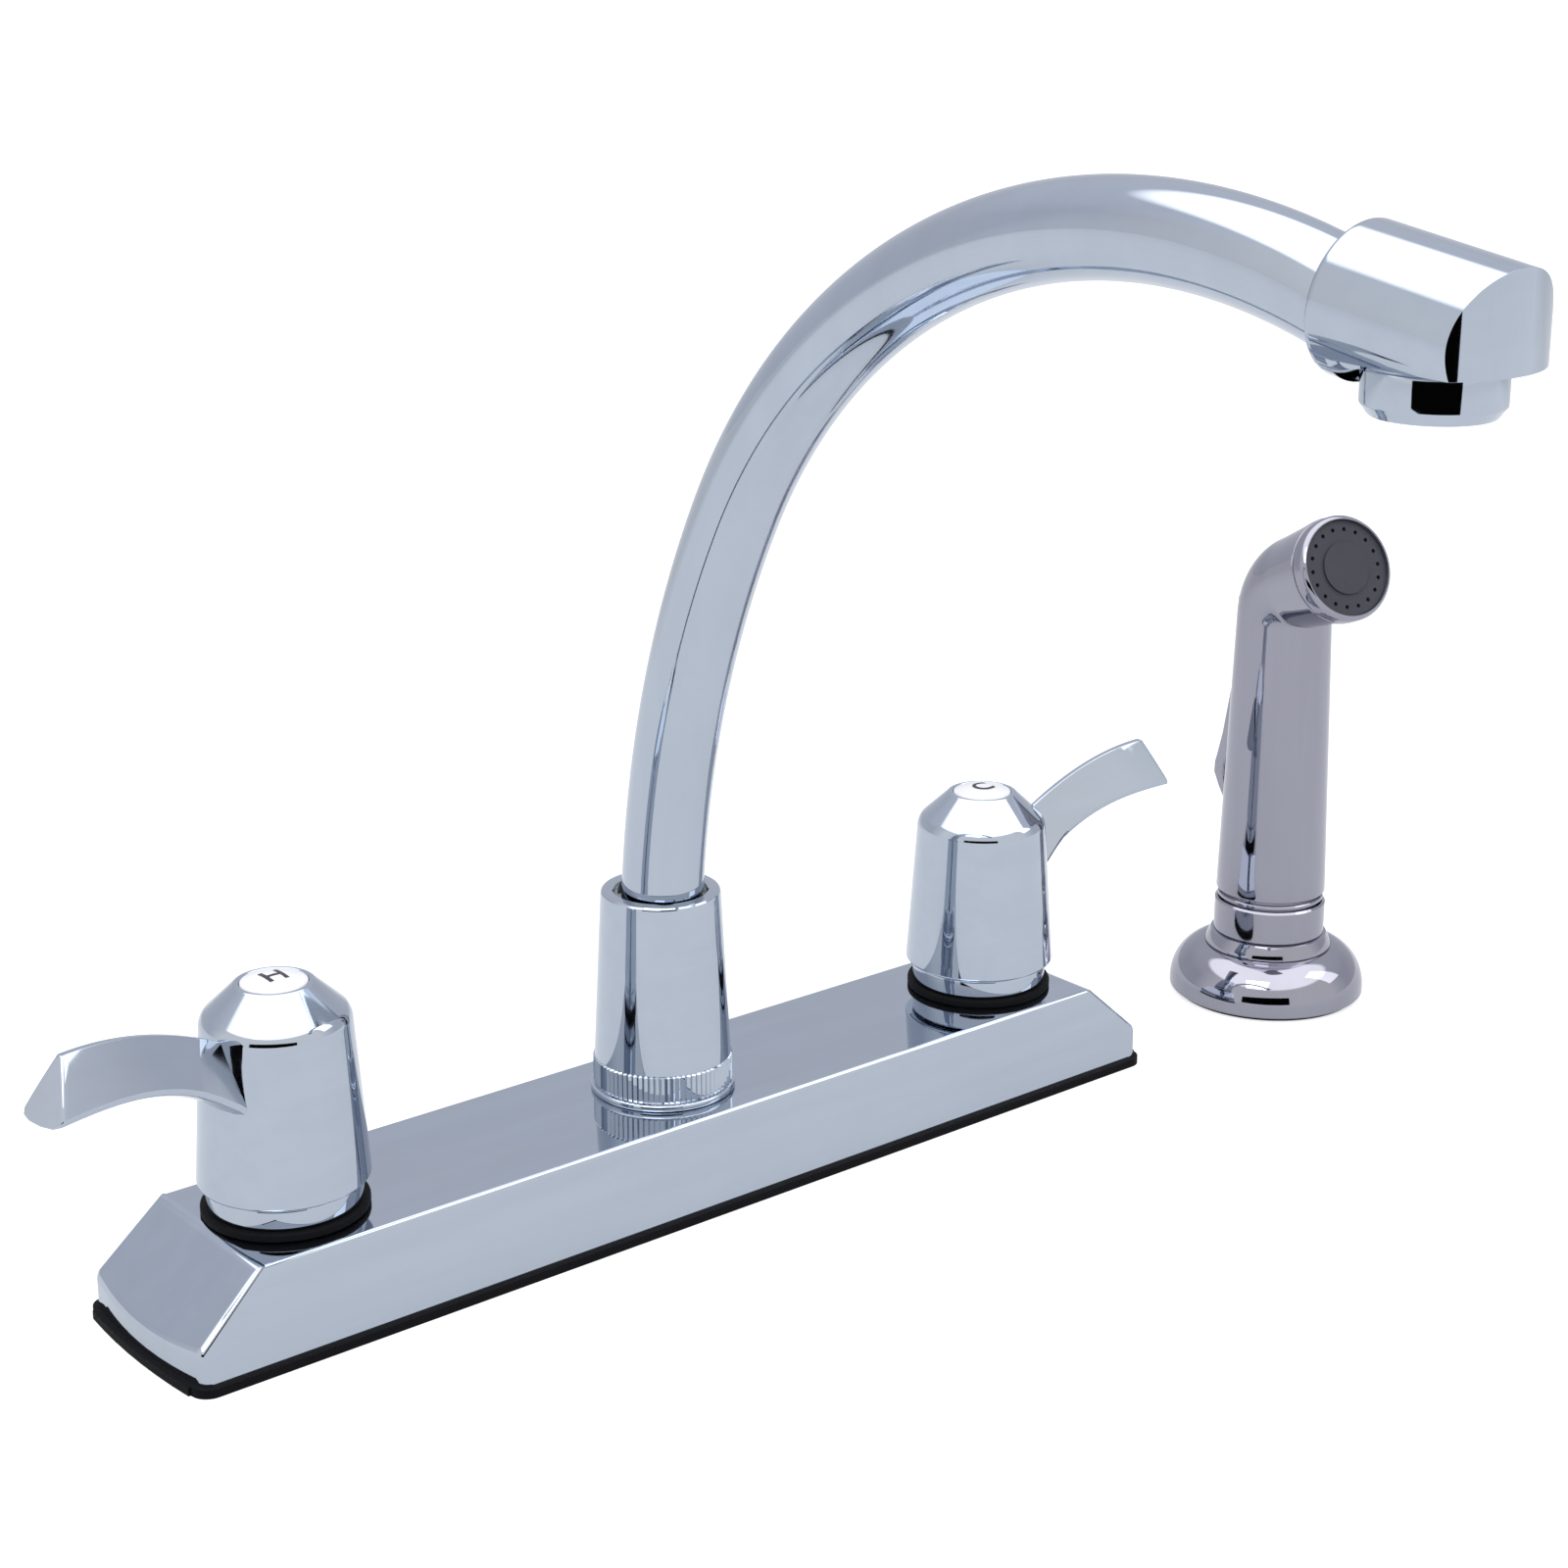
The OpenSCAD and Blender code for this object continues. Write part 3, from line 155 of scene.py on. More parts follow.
class SprayerSizes(bpy.types.PropertyGroup):
    x: length("Place along the deck", 202, "Distance of the sprayer from the spout")
    y: length("Place across the deck", -10, "How far the sprayer stands in front")
    bell_radius: length("Bell radius", 26.4, "Radius of the flange")
    bell_foot: length("Bell foot", 1, "Level of the flange's lower edge")
    bell_top: length("Bell top", 13.9, "Level at which the bell meets its neck")
    neck_radius: length("Neck radius", 17.2, "Radius of the flared neck")
    flange_top: length("Flange top", 17.7, "Level of the flange's top")
    collar_radius: length("Collar radius", 15, "Radius of the sprayer's collar")
    collar_top: length("Collar top", 27.1, "Level of the collar's top")
    grip: length("Grip level", 29.7, "Level of the grip's lower edge")
    grip_foot_radius: length("Grip foot radius", 14.8, "Radius of the grip at its foot")
    grip_top_radius: length("Grip top radius", 12.6, "Radius of the grip at its top")
    elbow: length("Elbow level", 114.5, "Level at which grip and head axes meet")
    head_radius: length("Head radius", 14, "Radius of the head at its face")
    head_length: length("Head length", 28.3, "Length of the head to its face")
    ring_depth: length("Ring depth", 5, "Depth of the ring round the face")
    face_radius: length("Face radius", 12.5, "Radius of the spray face")
    rise: turn("Rise", 23, "Rise of the head")
    facing: turn("Facing", 13, "Turn of the head from straight ahead")
    slot_foot: length("Slot foot", 46, "Level of the trigger slot's lower end")
    slot_top: length("Slot top", 113.3, "Level of the trigger slot's upper end")
    slot_floor: length("Slot floor", 6, "How far behind the grip's axis the slot ends")
    trigger_width: length("Trigger width", 11, "Width of the trigger")
    trigger_back: length("Trigger back", 9.2, "How far behind the grip's axis the trigger hinges")
    trigger_pivot: length("Trigger pivot", 110, "Level of the trigger's hinge")
    trigger_length: length("Trigger length", 61, "Length of the trigger under its hinge")
    trigger_kick: length("Trigger kick", 12.6, "How far the trigger stands out")


class FinishColours(bpy.types.PropertyGroup):
    chrome: colour("Chrome", (0.47, 0.52, 0.60), "Bright plating of the faucet")
    # The sprayer's tint is the faucet's chrome darkened: painted shade for the sprayer's darker
    # lighting, not a different plating
    spray_chrome: colour("Sprayer chrome with painted shade", (0.34, 0.34, 0.40), "Plating of the sprayer")
    brass: colour("Brass", (0.71, 0.52, 0.24), "Valve bodies and fittings")
    copper: colour("Copper", (0.76, 0.40, 0.25), "Supply tubes")
    steel: colour("Steel", (0.55, 0.55, 0.56), "Screws, springs and nuts")
    rubber: colour("Rubber", (0.004, 0.004, 0.005), "Gaskets and seals")
    nylon: colour("Nylon", (0.72, 0.71, 0.66), "Cartridges, bushing and holder")
    button: colour("Button", (0.66, 0.66, 0.69), "White index buttons")
    face: colour("Spray face", (0.036, 0.038, 0.050), "Grey rubber face of the sprayer")
    ink: colour("Ink", (0.03, 0.03, 0.04), "Letters on the buttons")
    polish: share("Polish", 0.03, "Roughness of clean plating")
    smudge: share("Smudge", 0.05, "Roughness that handling adds")


class StudioSettings(bpy.types.PropertyGroup):
    camera_x: length("Camera x", -378.466, "Camera place along the deck")
    camera_y: length("Camera y", -506.614, "Camera place in front of the deck")
    camera_z: length("Camera z", 302.007, "Camera height")
    pitch: turn("Pitch", -17.105, "How far the camera looks down")
    heading: turn("Heading", -39.351, "Turn of the camera")
    lens: FloatProperty(name="Lens", description="Focal length", default=66.577, min=10.0,
                        unit="CAMERA")
    rise: FloatProperty(name="Rise", description="Upward shift of the frame", default=-0.02527,
                        min=-0.2, max=0.2)
    floor_colour: colour("Floor", (0.80, 0.82, 0.85), "Plain pale floor")
    low_sky: colour("Low sky", (0.66, 0.68, 0.74), "Studio wall behind, near the floor")
    front_sky: colour("Front sky", (1.0, 1.0, 1.0), "Studio wall on the camera's side")
    high_sky: colour("High sky", (1.0, 1.0, 1.0), "Studio ceiling")
    ceiling: FloatProperty(name="Ceiling", description="Brightness of the ceiling",
                           default=2.2, min=0.0)


def millimetres(group):
    """The group's values, its lengths in millimetres."""
    values = {}
    for prop in group.bl_rna.properties:
        if prop.identifier in ("rna_type", "name"):
            continue
        value = getattr(group, prop.identifier)
        is_length = prop.type == "FLOAT" and prop.unit == "LENGTH"
        values[prop.identifier] = value / MM if is_length else value
    return SimpleNamespace(**values)


def between(low, high, part):
    """The value that lies a part of the way from low to high."""
    return low + (high - low) * part


def off_axis(place):
    """Distance of a place from the upright axis."""
    return math.hypot(place.x, place.y)


def only(kind, geom):
    """The vertices, edges or faces among what an operator returned."""
    return [g for g in geom if isinstance(g, kind)]


def weld(bm):
    """Merges doubles and points all faces outwards."""
    bmesh.ops.remove_doubles(bm, verts=bm.verts[:], dist=WELD)
    bmesh.ops.recalc_face_normals(bm, faces=bm.faces[:])


def soften(bm, radius, segments, fold=25, at=None, which=None):
    """Rounds the edges that fold by more than an angle in degrees.

    The test at is asked for the place of both ends, the test which for the edge itself.
    """
    edges = [e for e in bm.edges if len(e.link_faces) == 2
             and e.calc_face_angle(0) > math.radians(fold)
             and (at is None or all(at(v.co) for v in e.verts))
             and (which is None or which(e))]
    if not edges:
        raise RuntimeError("no edge to round")
    bmesh.ops.bevel(bm, geom=edges, offset=radius, offset_type="OFFSET", affect="EDGES",
                    segments=segments, profile=0.5, material=-1, clamp_overlap=True)


def cut(bm, place, normal, faces=None, **options):
    """Cuts the mesh, or some of its faces, along a plane."""
    geom = bm.verts[:] + bm.edges[:] + bm.faces[:]
    if faces is not None:
        geom = [*faces, *{v for f in faces for v in f.verts}, *{e for f in faces for e in f.edges}]
    return bmesh.ops.bisect_plane(bm, geom=geom, dist=WELD, plane_co=place, plane_no=normal,
                                  **options)


def chain(bm, points, closed=False):
    """Vertices joined by edges through the points."""
    verts = [bm.verts.new(p) for p in points]
    edges = [bm.edges.new(pair) for pair in zip(verts, verts[1:])]
    if closed:
        edges.append(bm.edges.new((verts[-1], verts[0])))
    return verts, edges


def cap(bm, edges):
    """Closes a loop of edges with one face."""
    bmesh.ops.contextual_create(bm, geom=edges)


def turned(points, steps=120, closed=False):
    """A mesh turned from an outline of (radius, level) points round the upright axis."""
    bm = bmesh.new()
    verts, edges = chain(bm, [(r, 0, z) for r, z in points], closed)
    bmesh.ops.spin(bm, geom=verts + edges, cent=(0, 0, 0), axis=(0, 0, 1), angle=FULL_TURN,
                   steps=steps, use_merge=True)
    weld(bm)
    return bm


def prism(outline, rise):
    """A mesh raised from an outline of places by a vector."""
    bm = bmesh.new()
    cap(bm, chain(bm, outline, closed=True)[1])
    made = bmesh.ops.extrude_face_region(bm, geom=bm.faces[:])["geom"]
    bmesh.ops.translate(bm, vec=rise, verts=only(BMVert, made))
    weld(bm)
    return bm


def sweep(bm, rows):
    """Adds a form closed at both ends through rows of places; gives its last vertices."""
    verts, edges = chain(bm, rows[0], closed=True)
    cap(bm, edges)
    for row in rows[1:]:
        made = bmesh.ops.extrude_edge_only(bm, edges=edges)["geom"]
        fresh = set(only(BMVert, made))
        verts = [next(e.other_vert(v) for e in v.link_edges if e.other_vert(v) in fresh)
                 for v in verts]
        for vert, place in zip(verts, row):
            vert.co = place
        edges = [e for e in only(BMEdge, made) if fresh.issuperset(e.verts)]
    cap(bm, edges)
    bmesh.ops.recalc_face_normals(bm, faces=bm.faces[:])
    return verts


def circle_row(middle, radius, count, along):
    """Places round a circle in the plane of X and another direction."""
    across = Vector((1, 0, 0))
    return [Vector(middle) + radius * (math.cos(a) * across + math.sin(a) * Vector(along))
            for a in (FULL_TURN * i / count for i in range(count))]


def new_object(name, bm, material):
    """An object of the mesh, in the scene."""
    mesh = bpy.data.meshes.new(name)
    bm.to_mesh(mesh)
    bm.free()
    mesh.materials.append(material)
    obj = bpy.data.objects.new(name, mesh)
    bpy.context.scene.collection.objects.link(obj)
    return obj


# The finish of each material slot of the record
FINISHES = {
    "chrome": "Bright plating", "spray_chrome": "Sprayer plating with painted shade", "brass": "Machined brass",
    "copper": "Bright copper", "steel": "Plated steel", "rubber": "Black rubber",
    "nylon": "Natural nylon", "button_white": "White button enamel",
    "face_grey": "Grey spray rubber",
}


def piece(name, bm, body, slot, *nodes, finish=None, place=(0, 0), facing=0.0, smooth=38,
          weighted=False):
    """Turns and places the mesh, which is in millimetres, and ties it to the frame."""
    bmesh.ops.recalc_face_normals(bm, faces=bm.faces[:])
    bmesh.ops.transform(bm, verts=bm.verts[:], matrix=Matrix.Scale(MM, 4)
                        @ Matrix.Translation((*place, 0)) @ Matrix.Rotation(facing, 4, "Z"))
    obj = new_object(name, bm, bpy.data.materials[finish or FINISHES[slot]])
    obj.data.shade_smooth()
    obj.data.set_sharp_from_angle(angle=math.radians(smooth))
    if weighted:
        modifier = obj.modifiers.new("Face weighted", "WEIGHTED_NORMAL")
        modifier.keep_sharp = True
        modifier.weight = 60
    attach(obj, body)
    if nodes:
        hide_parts(*nodes)


class Board:
    """A node tree with short calls to add and link nodes."""

    def __init__(self, tree):
        self.tree = tree

    def fill(self, node, inputs):
        """Links or sets inputs, each given by its name or number."""
        for key, value in inputs.items():
            target = node.inputs[key]
            if isinstance(value, bpy.types.NodeSocket):
                self.tree.links.new(value, target)
            elif target.type == "RGBA":
                target.default_value = (*value, 1.0)
            else:
                target.default_value = value

    def add(self, kind, inputs=None, **settings):
        node = self.tree.nodes.new(kind)
        for key, value in settings.items():
            setattr(node, key, value)
        self.fill(node, inputs or {})
        return node

    def place(self, coordinates="Object"):
        return self.add("ShaderNodeTexCoord").outputs[coordinates]

    def stretch(self, vector, scale, rotation=(0.0, 0.0, 0.0)):
        return self.add("ShaderNodeMapping", {"Vector": vector, "Scale": scale,
                                              "Rotation": rotation}).outputs["Vector"]

    def noise(self, vector, scale, detail=3.0, roughness=0.5):
        return self.add("ShaderNodeTexNoise", {"Vector": vector, "Scale": scale,
                                               "Detail": detail,
                                               "Roughness": roughness}).outputs["Fac"]

    def span(self, value, low, high, to_low=0.0, to_high=1.0):
        return self.add("ShaderNodeMapRange", {
            "Value": value, "From Min": low, "From Max": high, "To Min": to_low,
            "To Max": to_high}, clamp=True).outputs["Result"]

    def math(self, operation, *values):
        return self.add("ShaderNodeMath", dict(enumerate(values)),
                        operation=operation).outputs[0]

    def blend(self, factor, first, second):
        return self.add("ShaderNodeMix", {"Factor": factor, 6: first, 7: second},
                        data_type="RGBA").outputs[2]

    def bump(self, shader, height, distance):
        node = self.add("ShaderNodeBump", {"Distance": distance, "Strength": 1.0,
                                           "Height": height})
        self.fill(shader, {"Normal": node.outputs["Normal"]})

    def group(self, name, **values):
        return self.add("ShaderNodeGroup", values, node_tree=bpy.data.node_groups[name]).outputs

    def away(self, vector):
        """How far a place lies away from the camera, along the floor."""
        return self.add("ShaderNodeVectorMath", {0: vector, 1: (0.63, 0.77, 0.0)},
                        operation="DOT_PRODUCT").outputs["Value"]


def new_group(name, inputs, outputs):
    """The board of a new group, what it is given, and its output node."""
    tree = bpy.data.node_groups.new(name, "ShaderNodeTree")
    for label, value in inputs.items():
        socket = tree.interface.new_socket(label, in_out="INPUT", socket_type="NodeSocketFloat")
        socket.default_value = value
    for label in outputs:
        tree.interface.new_socket(label, in_out="OUTPUT", socket_type="NodeSocketFloat")
    board = Board(tree)
    return board, board.add("NodeGroupInput").outputs, board.add("NodeGroupOutput")


def build_handling_group():
    """Fingerprint haze, dried water spots and fine wiping scratches."""
    board, given, out = new_group("Handling marks", {"Scale": 1.0, "Spots": 0.5},
                                  ["Haze", "Scratches", "Water"])
    where = board.place()
    haze_scale, scratch_scale, cell_scale = (
        board.math("MULTIPLY", given["Scale"], factor) for factor in (34.0, 2600.0, 210.0))
    wiped = board.stretch(where, (1.0, 0.07, 1.0), (0.0, 0.5, 0.35))
    cells = board.add("ShaderNodeTexVoronoi", {"Vector": where, "Scale": cell_scale,
                                               "Randomness": 1.0}, feature="F1")
    rim = board.math("SUBTRACT", 1.0, board.span(cells.outputs["Distance"], 0.10, 0.30))
    patch = board.span(board.noise(where, 55.0, 2.0), 0.55, 0.66)
    board.fill(out, {
        "Haze": board.span(board.noise(where, haze_scale, 4.0, 0.6), 0.46, 0.72),
        "Scratches": board.span(board.noise(wiped, scratch_scale, 2.0), 0.58, 0.78),
        "Water": board.math("MULTIPLY", board.math("MULTIPLY", rim, patch), given["Spots"])})


def build_grain_group():
    """Fine moulded or cast grain."""
    board, given, out = new_group("Fine grain", {"Scale": 400.0}, ["Grain", "Patches"])
    where = board.place()
    board.fill(out, {"Grain": board.noise(where, given["Scale"], 5.0, 0.65),
                     "Patches": board.span(board.noise(where, 45.0), 0.35, 0.65)})


def new_material(name):
    """The board and the shader of a new material."""
    material = bpy.data.materials.new(name)
    material.use_nodes = True
    return Board(material.node_tree), material.node_tree.nodes["Principled BSDF"]


def plating(name, tint, f, streak=(6.0, 90.0, 90.0), ripple=0.000006):
    """Bright plating: drawn streaks, haze, water spots and wiping scratches."""
    board, shader = new_material(name)
    marks = board.group("Handling marks", Scale=1.0, Spots=0.5)
    where = board.place()
    streaks = board.span(board.noise(board.stretch(where, streak), 2.0, 4.0, 0.55), 0.35, 0.7)
    streak_shade, warmth = 0.956, (0.98, 0.955, 0.93)
    worn = board.blend(streaks, tint, [c * streak_shade for c in tint])
    warm = [c * k for c, k in zip(tint, warmth)]
    haze_share = board.math("MULTIPLY", marks["Haze"], 0.5)
    rough = board.math("MULTIPLY_ADD", marks["Haze"], f.smudge, f.polish)
    for mark, gain in (("Water", 0.12), ("Scratches", 0.04)):
        rough = board.math("ADD", rough, board.math("MULTIPLY", marks[mark], gain))
    board.fill(shader, {"Metallic": 1.0, "Roughness": rough,
                        "Base Color": board.blend(haze_share, worn, warm)})
    swell = board.noise(where, 38.0, 2.0, 0.4)
    fine = board.math("MULTIPLY", marks["Scratches"], 0.012)
    board.bump(shader, board.math("ADD", swell, fine), ripple)


def grained(name, tint, rough_low, rough_high, grain_scale, shade, relief, inputs):
    """A finish with fine grain, darker patches and an uneven gloss."""
    board, shader = new_material(name)
    grain = board.group("Fine grain", Scale=grain_scale)
    board.fill(shader, {
        "Base Color": board.blend(grain["Patches"], tint, [c * shade for c in tint]),
        "Roughness": board.span(grain["Grain"], 0.3, 0.7, rough_low, rough_high), **inputs})
    board.bump(shader, grain["Grain"], relief)


def bare_metal(name, tint, rough_low, rough_high, grain_scale):
    """Machined or cast metal under the deck."""
    grained(name, tint, rough_low, rough_high, grain_scale, 0.78, 0.00005, {"Metallic": 1.0})


def moulded(name, tint, rough_low, rough_high, grain_scale, coat=0.0, relief=0.00003,
            gloss=0.5):
    """Moulded rubber or plastic."""
    grained(name, tint, rough_low, rough_high, grain_scale, 0.9, relief,
            {"Coat Weight": coat, "Coat Roughness": 0.04, "Specular IOR Level": gloss})


class FAUCET_OT_finishes(bpy.types.Operator):
    """Make the finishes and give one to every CAD node"""
    bl_idname = "faucet.finishes"
    bl_label = "Finishes"

    def execute(self, context):
        f = context.scene.faucet_finish
        build_handling_group()
        build_grain_group()
        plating("Bright plating", f.chrome, f)
        plating("Drawn tube plating", f.chrome, f, (60.0, 60.0, 8.0), 0.000004)
        # Same plating as the faucet with the darker sprayer tint: painted shade on every sprayer
        # piece
        plating("Sprayer plating with painted shade", f.spray_chrome, f, (80.0, 80.0, 10.0))
        bare_metal("Machined brass", f.brass, 0.22, 0.42, 900.0)
        bare_metal("Bright copper", f.copper, 0.18, 0.34, 700.0)
        bare_metal("Plated steel", f.steel, 0.2, 0.38, 1200.0)
        moulded("Black rubber", f.rubber, 0.5, 0.75, 1500.0, gloss=0.08)
        moulded("Grey spray rubber", f.face, 0.42, 0.6, 1800.0, relief=0.00005, gloss=0.3)
        moulded("Natural nylon", f.nylon, 0.35, 0.55, 900.0)
        moulded("White button enamel", f.button, 0.12, 0.22, 300.0, coat=0.6, relief=0.000006)
        moulded("Letter ink", f.ink, 0.3, 0.45, 900.0, gloss=0.2)
        slots = node_slots()
        for name, node in frame["nodes"].items():
            finish = bpy.data.materials[FINISHES[slots[name]]]
            if not node.material_slots:
                node.data.materials.append(finish)
            for place in node.material_slots:
                place.material = finish
        return {"FINISHED"}


def node_slots():
    """The record's material slot of each node."""
    slots = {row["node"]: row["material_slot"] for row in frame["record"]["subparts"]}
    missing = sorted(set(frame["nodes"]) - set(slots))
    if missing:
        raise RuntimeError(f"no finish named for {missing}")
    return slots


def plate_plan(half_length, half_depth, corner, bow):
    """Points round the plan: bowed ends with rounded corners."""
    inner = half_depth - corner
    turn_x = half_length - bow - corner
    corner_turn = [(turn_x + corner * math.cos(a), inner + corner * math.sin(a))
                   for a in (math.radians(15 * i) for i in range(1, 7))]
    bowed = [(half_length - bow * across ** 2, inner * across)
             for across in (i / 6 - 1 for i in range(13))]
    end = [(x, -y) for x, y in reversed(corner_turn)] + bowed + corner_turn
    return end + [(-x, -y) for x, y in end]


def slice_off(bm, place, normal):
    """Cuts away what lies beyond a plane and closes the cut."""
    made = cut(bm, place, normal, clear_outer=True)
    bmesh.ops.edgeloop_fill(bm, edges=only(BMEdge, made["geom_cut"]))


class FAUCET_OT_plate(bpy.types.Operator):
    """Make the deck plate's polished shell"""
    bl_idname = "faucet.plate"
    bl_label = "Deck plate"

    def execute(self, context):
        p = millimetres(context.scene.faucet_plate)
        half_end, half_top = p.end_length / 2, p.top_length / 2
        half_foot, half_crown = p.foot_depth / 2, p.top_depth / 2
        plan = plate_plan(half_end, half_foot, p.corner, p.end_bow)
        bm = prism([(x, y, p.foot) for x, y in plan], (0, 0, p.top - p.foot))
        slope = Vector((p.top - p.band, 0, half_end - half_top)).normalized()
        for end in (1, -1):
            slice_off(bm, (end * half_end, 0, p.band), (end * slope.x, 0, slope.z))
        draft = Vector((0, p.top - p.foot, half_foot - half_crown)).normalized()
        for side in (1, -1):
            slice_off(bm, (0, side * half_foot, p.foot), (0, side * draft.y, draft.z))
        weld(bm)
        soften(bm, p.soft_edge, 5, fold=20, which=lambda e: any(
            abs(f.normal.x) > 0.2 and f.normal.z > 0.5 for f in e.link_faces))
        soften(bm, p.crisp_edge, 4, fold=40, at=lambda co: co.z > p.top - 2.5,
               which=lambda e: abs(e.verts[0].co.x - e.verts[1].co.x) > 50)
        hollow_plate(bm, p, half_end, half_top, half_foot, half_crown)
        piece("deck_plate_shell", bm, "faucet_base", "chrome", "deck_plate", weighted=True)
        return {"FINISHED"}


def hollow_plate(bm, p, half_end, half_top, half_foot, half_crown):
    """Sinks the underside to leave a shell of even wall."""
    foot = [f for f in bm.faces if f.normal.z < -0.9 and f.calc_area() > 100]
    bmesh.ops.inset_region(bm, faces=foot, thickness=p.wall, use_even_offset=True)
    steps = [(p.band - p.foot, 1.0, 1.0),
             (p.top - p.wall - p.band, (half_top - p.wall) / (half_end - p.wall),
              (half_crown - p.wall) / (half_foot - p.wall))]
    for rise, narrow_x, narrow_y in steps:
        made = bmesh.ops.extrude_face_region(bm, geom=foot)["geom"]
        bmesh.ops.delete(bm, geom=foot, context="FACES_ONLY")
        foot = only(BMFace, made)
        verts = only(BMVert, made)
        bmesh.ops.translate(bm, vec=(0, 0, rise), verts=verts)
        bmesh.ops.scale(bm, vec=(narrow_x, narrow_y, 1), verts=verts)


# Name, side of the spout and letter of each handle
SIDES = (("hot", -1, "H"), ("cold", 1, "C"))

# Section of the lever from its ridge to its belly: across, then down, in shares
LEVER_SLOPE = [(0.13, 0.0), (0.36, 0.2), (0.58, 0.40), (0.80, 0.61), (1.0, 0.82), (0.94, 0.92),
               (0.6, 0.98)]
LEVER_SECTION = LEVER_SLOPE + [(0.0, 1.0)] + [(-x, down) for x, down in reversed(LEVER_SLOPE)]
# Reach of the lever's root, then its levels at root and tip, and the part of it that flares
LEVER_ROOT = 11.0
LEVER_RIDGE_LEVELS = (64.2, 78.2)
LEVER_BELLY_LEVELS = (46.4, 65.0)
FLARE_END = 0.27


def lever_place(p, along, section):
    """Place of a point of the lever's section, out along +X."""
    across, down = section
    ridge = between(*LEVER_RIDGE_LEVELS, 1 - (1 - along) ** 2)
    belly = between(*LEVER_BELLY_LEVELS, 1 - (1 - along) ** 3)
    half = between(p.root_half_width, p.tip_half_width, along)
    if along < FLARE_END:
        half += p.flare * (1 - along / FLARE_END) * min(1.0, 2.2 * down)
    reach = between(p.top_reach, p.foot_reach, down)
    return Vector((between(LEVER_ROOT, reach, along), half * across,
                   between(ridge, belly, down)))


def lever_mesh(bm, p):
    """Adds the lever, out along +X."""
    stations = [0.0, 0.12, 0.2] + [between(FLARE_END, 1.0, i / 20) for i in range(21)]
    tip = set(sweep(bm, [[lever_place(p, u, s) for s in LEVER_SECTION] for u in stations]))
    soften(bm, 0.55, 3, fold=0, which=lambda e: tip.issuperset(e.verts))
    soften(bm, 0.45, 2, fold=22,
           which=lambda e: abs(e.verts[0].co.x - e.verts[1].co.x) > 0.5)


class FAUCET_OT_handles(bpy.types.Operator):
    """Make both lever handles"""
    bl_idname = "faucet.handles"
    bl_label = "Lever handles"

    def execute(self, context):
        p = millimetres(context.scene.faucet_handle)
        for name, side, _ in SIDES:
            inner, seat = p.skirt_radius - p.wall, p.button_radius + 0.1
            bm = turned([
                (0, p.floor), (inner, p.floor), (inner, p.skirt), (p.skirt_radius, p.skirt),
                (p.shoulder_radius, p.shoulder), (seat + 1.05, p.crown), (seat, p.crown),
                (seat, p.button_seat), (0, p.button_seat)], steps=144)
            soften(bm, 1.6, 6, at=lambda co: abs(co.z - p.shoulder) < 0.1)
            soften(bm, 0.4, 3, at=lambda co: co.z > p.crown - 0.1)
            soften(bm, 0.7, 4, at=lambda co: co.z < p.skirt + 0.1)
            lever_mesh(bm, p)
            facing = math.pi + p.hot_turn if name == "hot" else 0.0
            piece(f"{name}_lever_handle", bm, f"{name}_valve", "chrome", f"{name}_handle",
                  place=(side * p.offset, 0), facing=facing, weighted=True)
        return {"FINISHED"}


class FAUCET_OT_buttons(bpy.types.Operator):
    """Make the index buttons and their letters"""
    bl_idname = "faucet.buttons"
    bl_label = "Index buttons"

    def execute(self, context):
        p = millimetres(context.scene.faucet_handle)
        rim_height, rings, ink_lift = 2.4, 14, 0.03
        dome = p.button_top - p.button_seat - rim_height
        dome_radius = (p.button_radius ** 2 + dome ** 2) / (2 * dome)

        def dome_level(radius):
            return p.button_top - dome_radius + math.sqrt(dome_radius ** 2 - radius ** 2)

        for name, side, character in SIDES:
            body, place = f"{name}_valve", (side * p.offset, 0)
            radii = [p.button_radius * i / rings for i in range(rings, -1, -1)]
            bm = turned([(0, p.button_seat), (p.button_radius, p.button_seat)]
                        + [(r, dome_level(r)) for r in radii], steps=96)
            soften(bm, 0.35, 3)
            piece(f"{name}_button", bm, body, "button_white", f"{name}_index_button",
                  place=place)
            letter = letter_mesh(character, p.letter_size)
            for vert in letter.verts:
                vert.co.z += dome_level(off_axis(vert.co)) + ink_lift
            piece(f"{name}_letter", letter, body, "button_white", finish="Letter ink",
                  place=place, smooth=20)
        return {"FINISHED"}


def letter_mesh(character, size):
    """A plain, centred letter, as a thin closed mesh cut by a fine grid."""
    font = bpy.data.curves.new("letter", "FONT")
    font.body = character
    font.size = size
    font.align_x = "CENTER"
    font.align_y = "CENTER"
    font.extrude = 0.06
    font.offset = 0.1
    holder = bpy.data.objects.new("letter", font)
    mesh = bpy.data.meshes.new_from_object(holder)
    bm = bmesh.new()
    bm.from_mesh(mesh)
    bpy.data.objects.remove(holder)
    bpy.data.curves.remove(font)
    bpy.data.meshes.remove(mesh)
    bmesh.ops.remove_doubles(bm, verts=bm.verts[:], dist=WELD)
    xs = [v.co.x for v in bm.verts]
    ys = [v.co.y for v in bm.verts]
    bmesh.ops.translate(bm, verts=bm.verts[:],
                        vec=(-(min(xs) + max(xs)) / 2, -(min(ys) + max(ys)) / 2, 0))
    grid, lines = 0.6, 8
    for i in range(-lines, lines + 1):
        cut(bm, (grid * i, 0, 0), (1, 0, 0))
        cut(bm, (0, grid * i, 0), (0, 1, 0))
    return bm


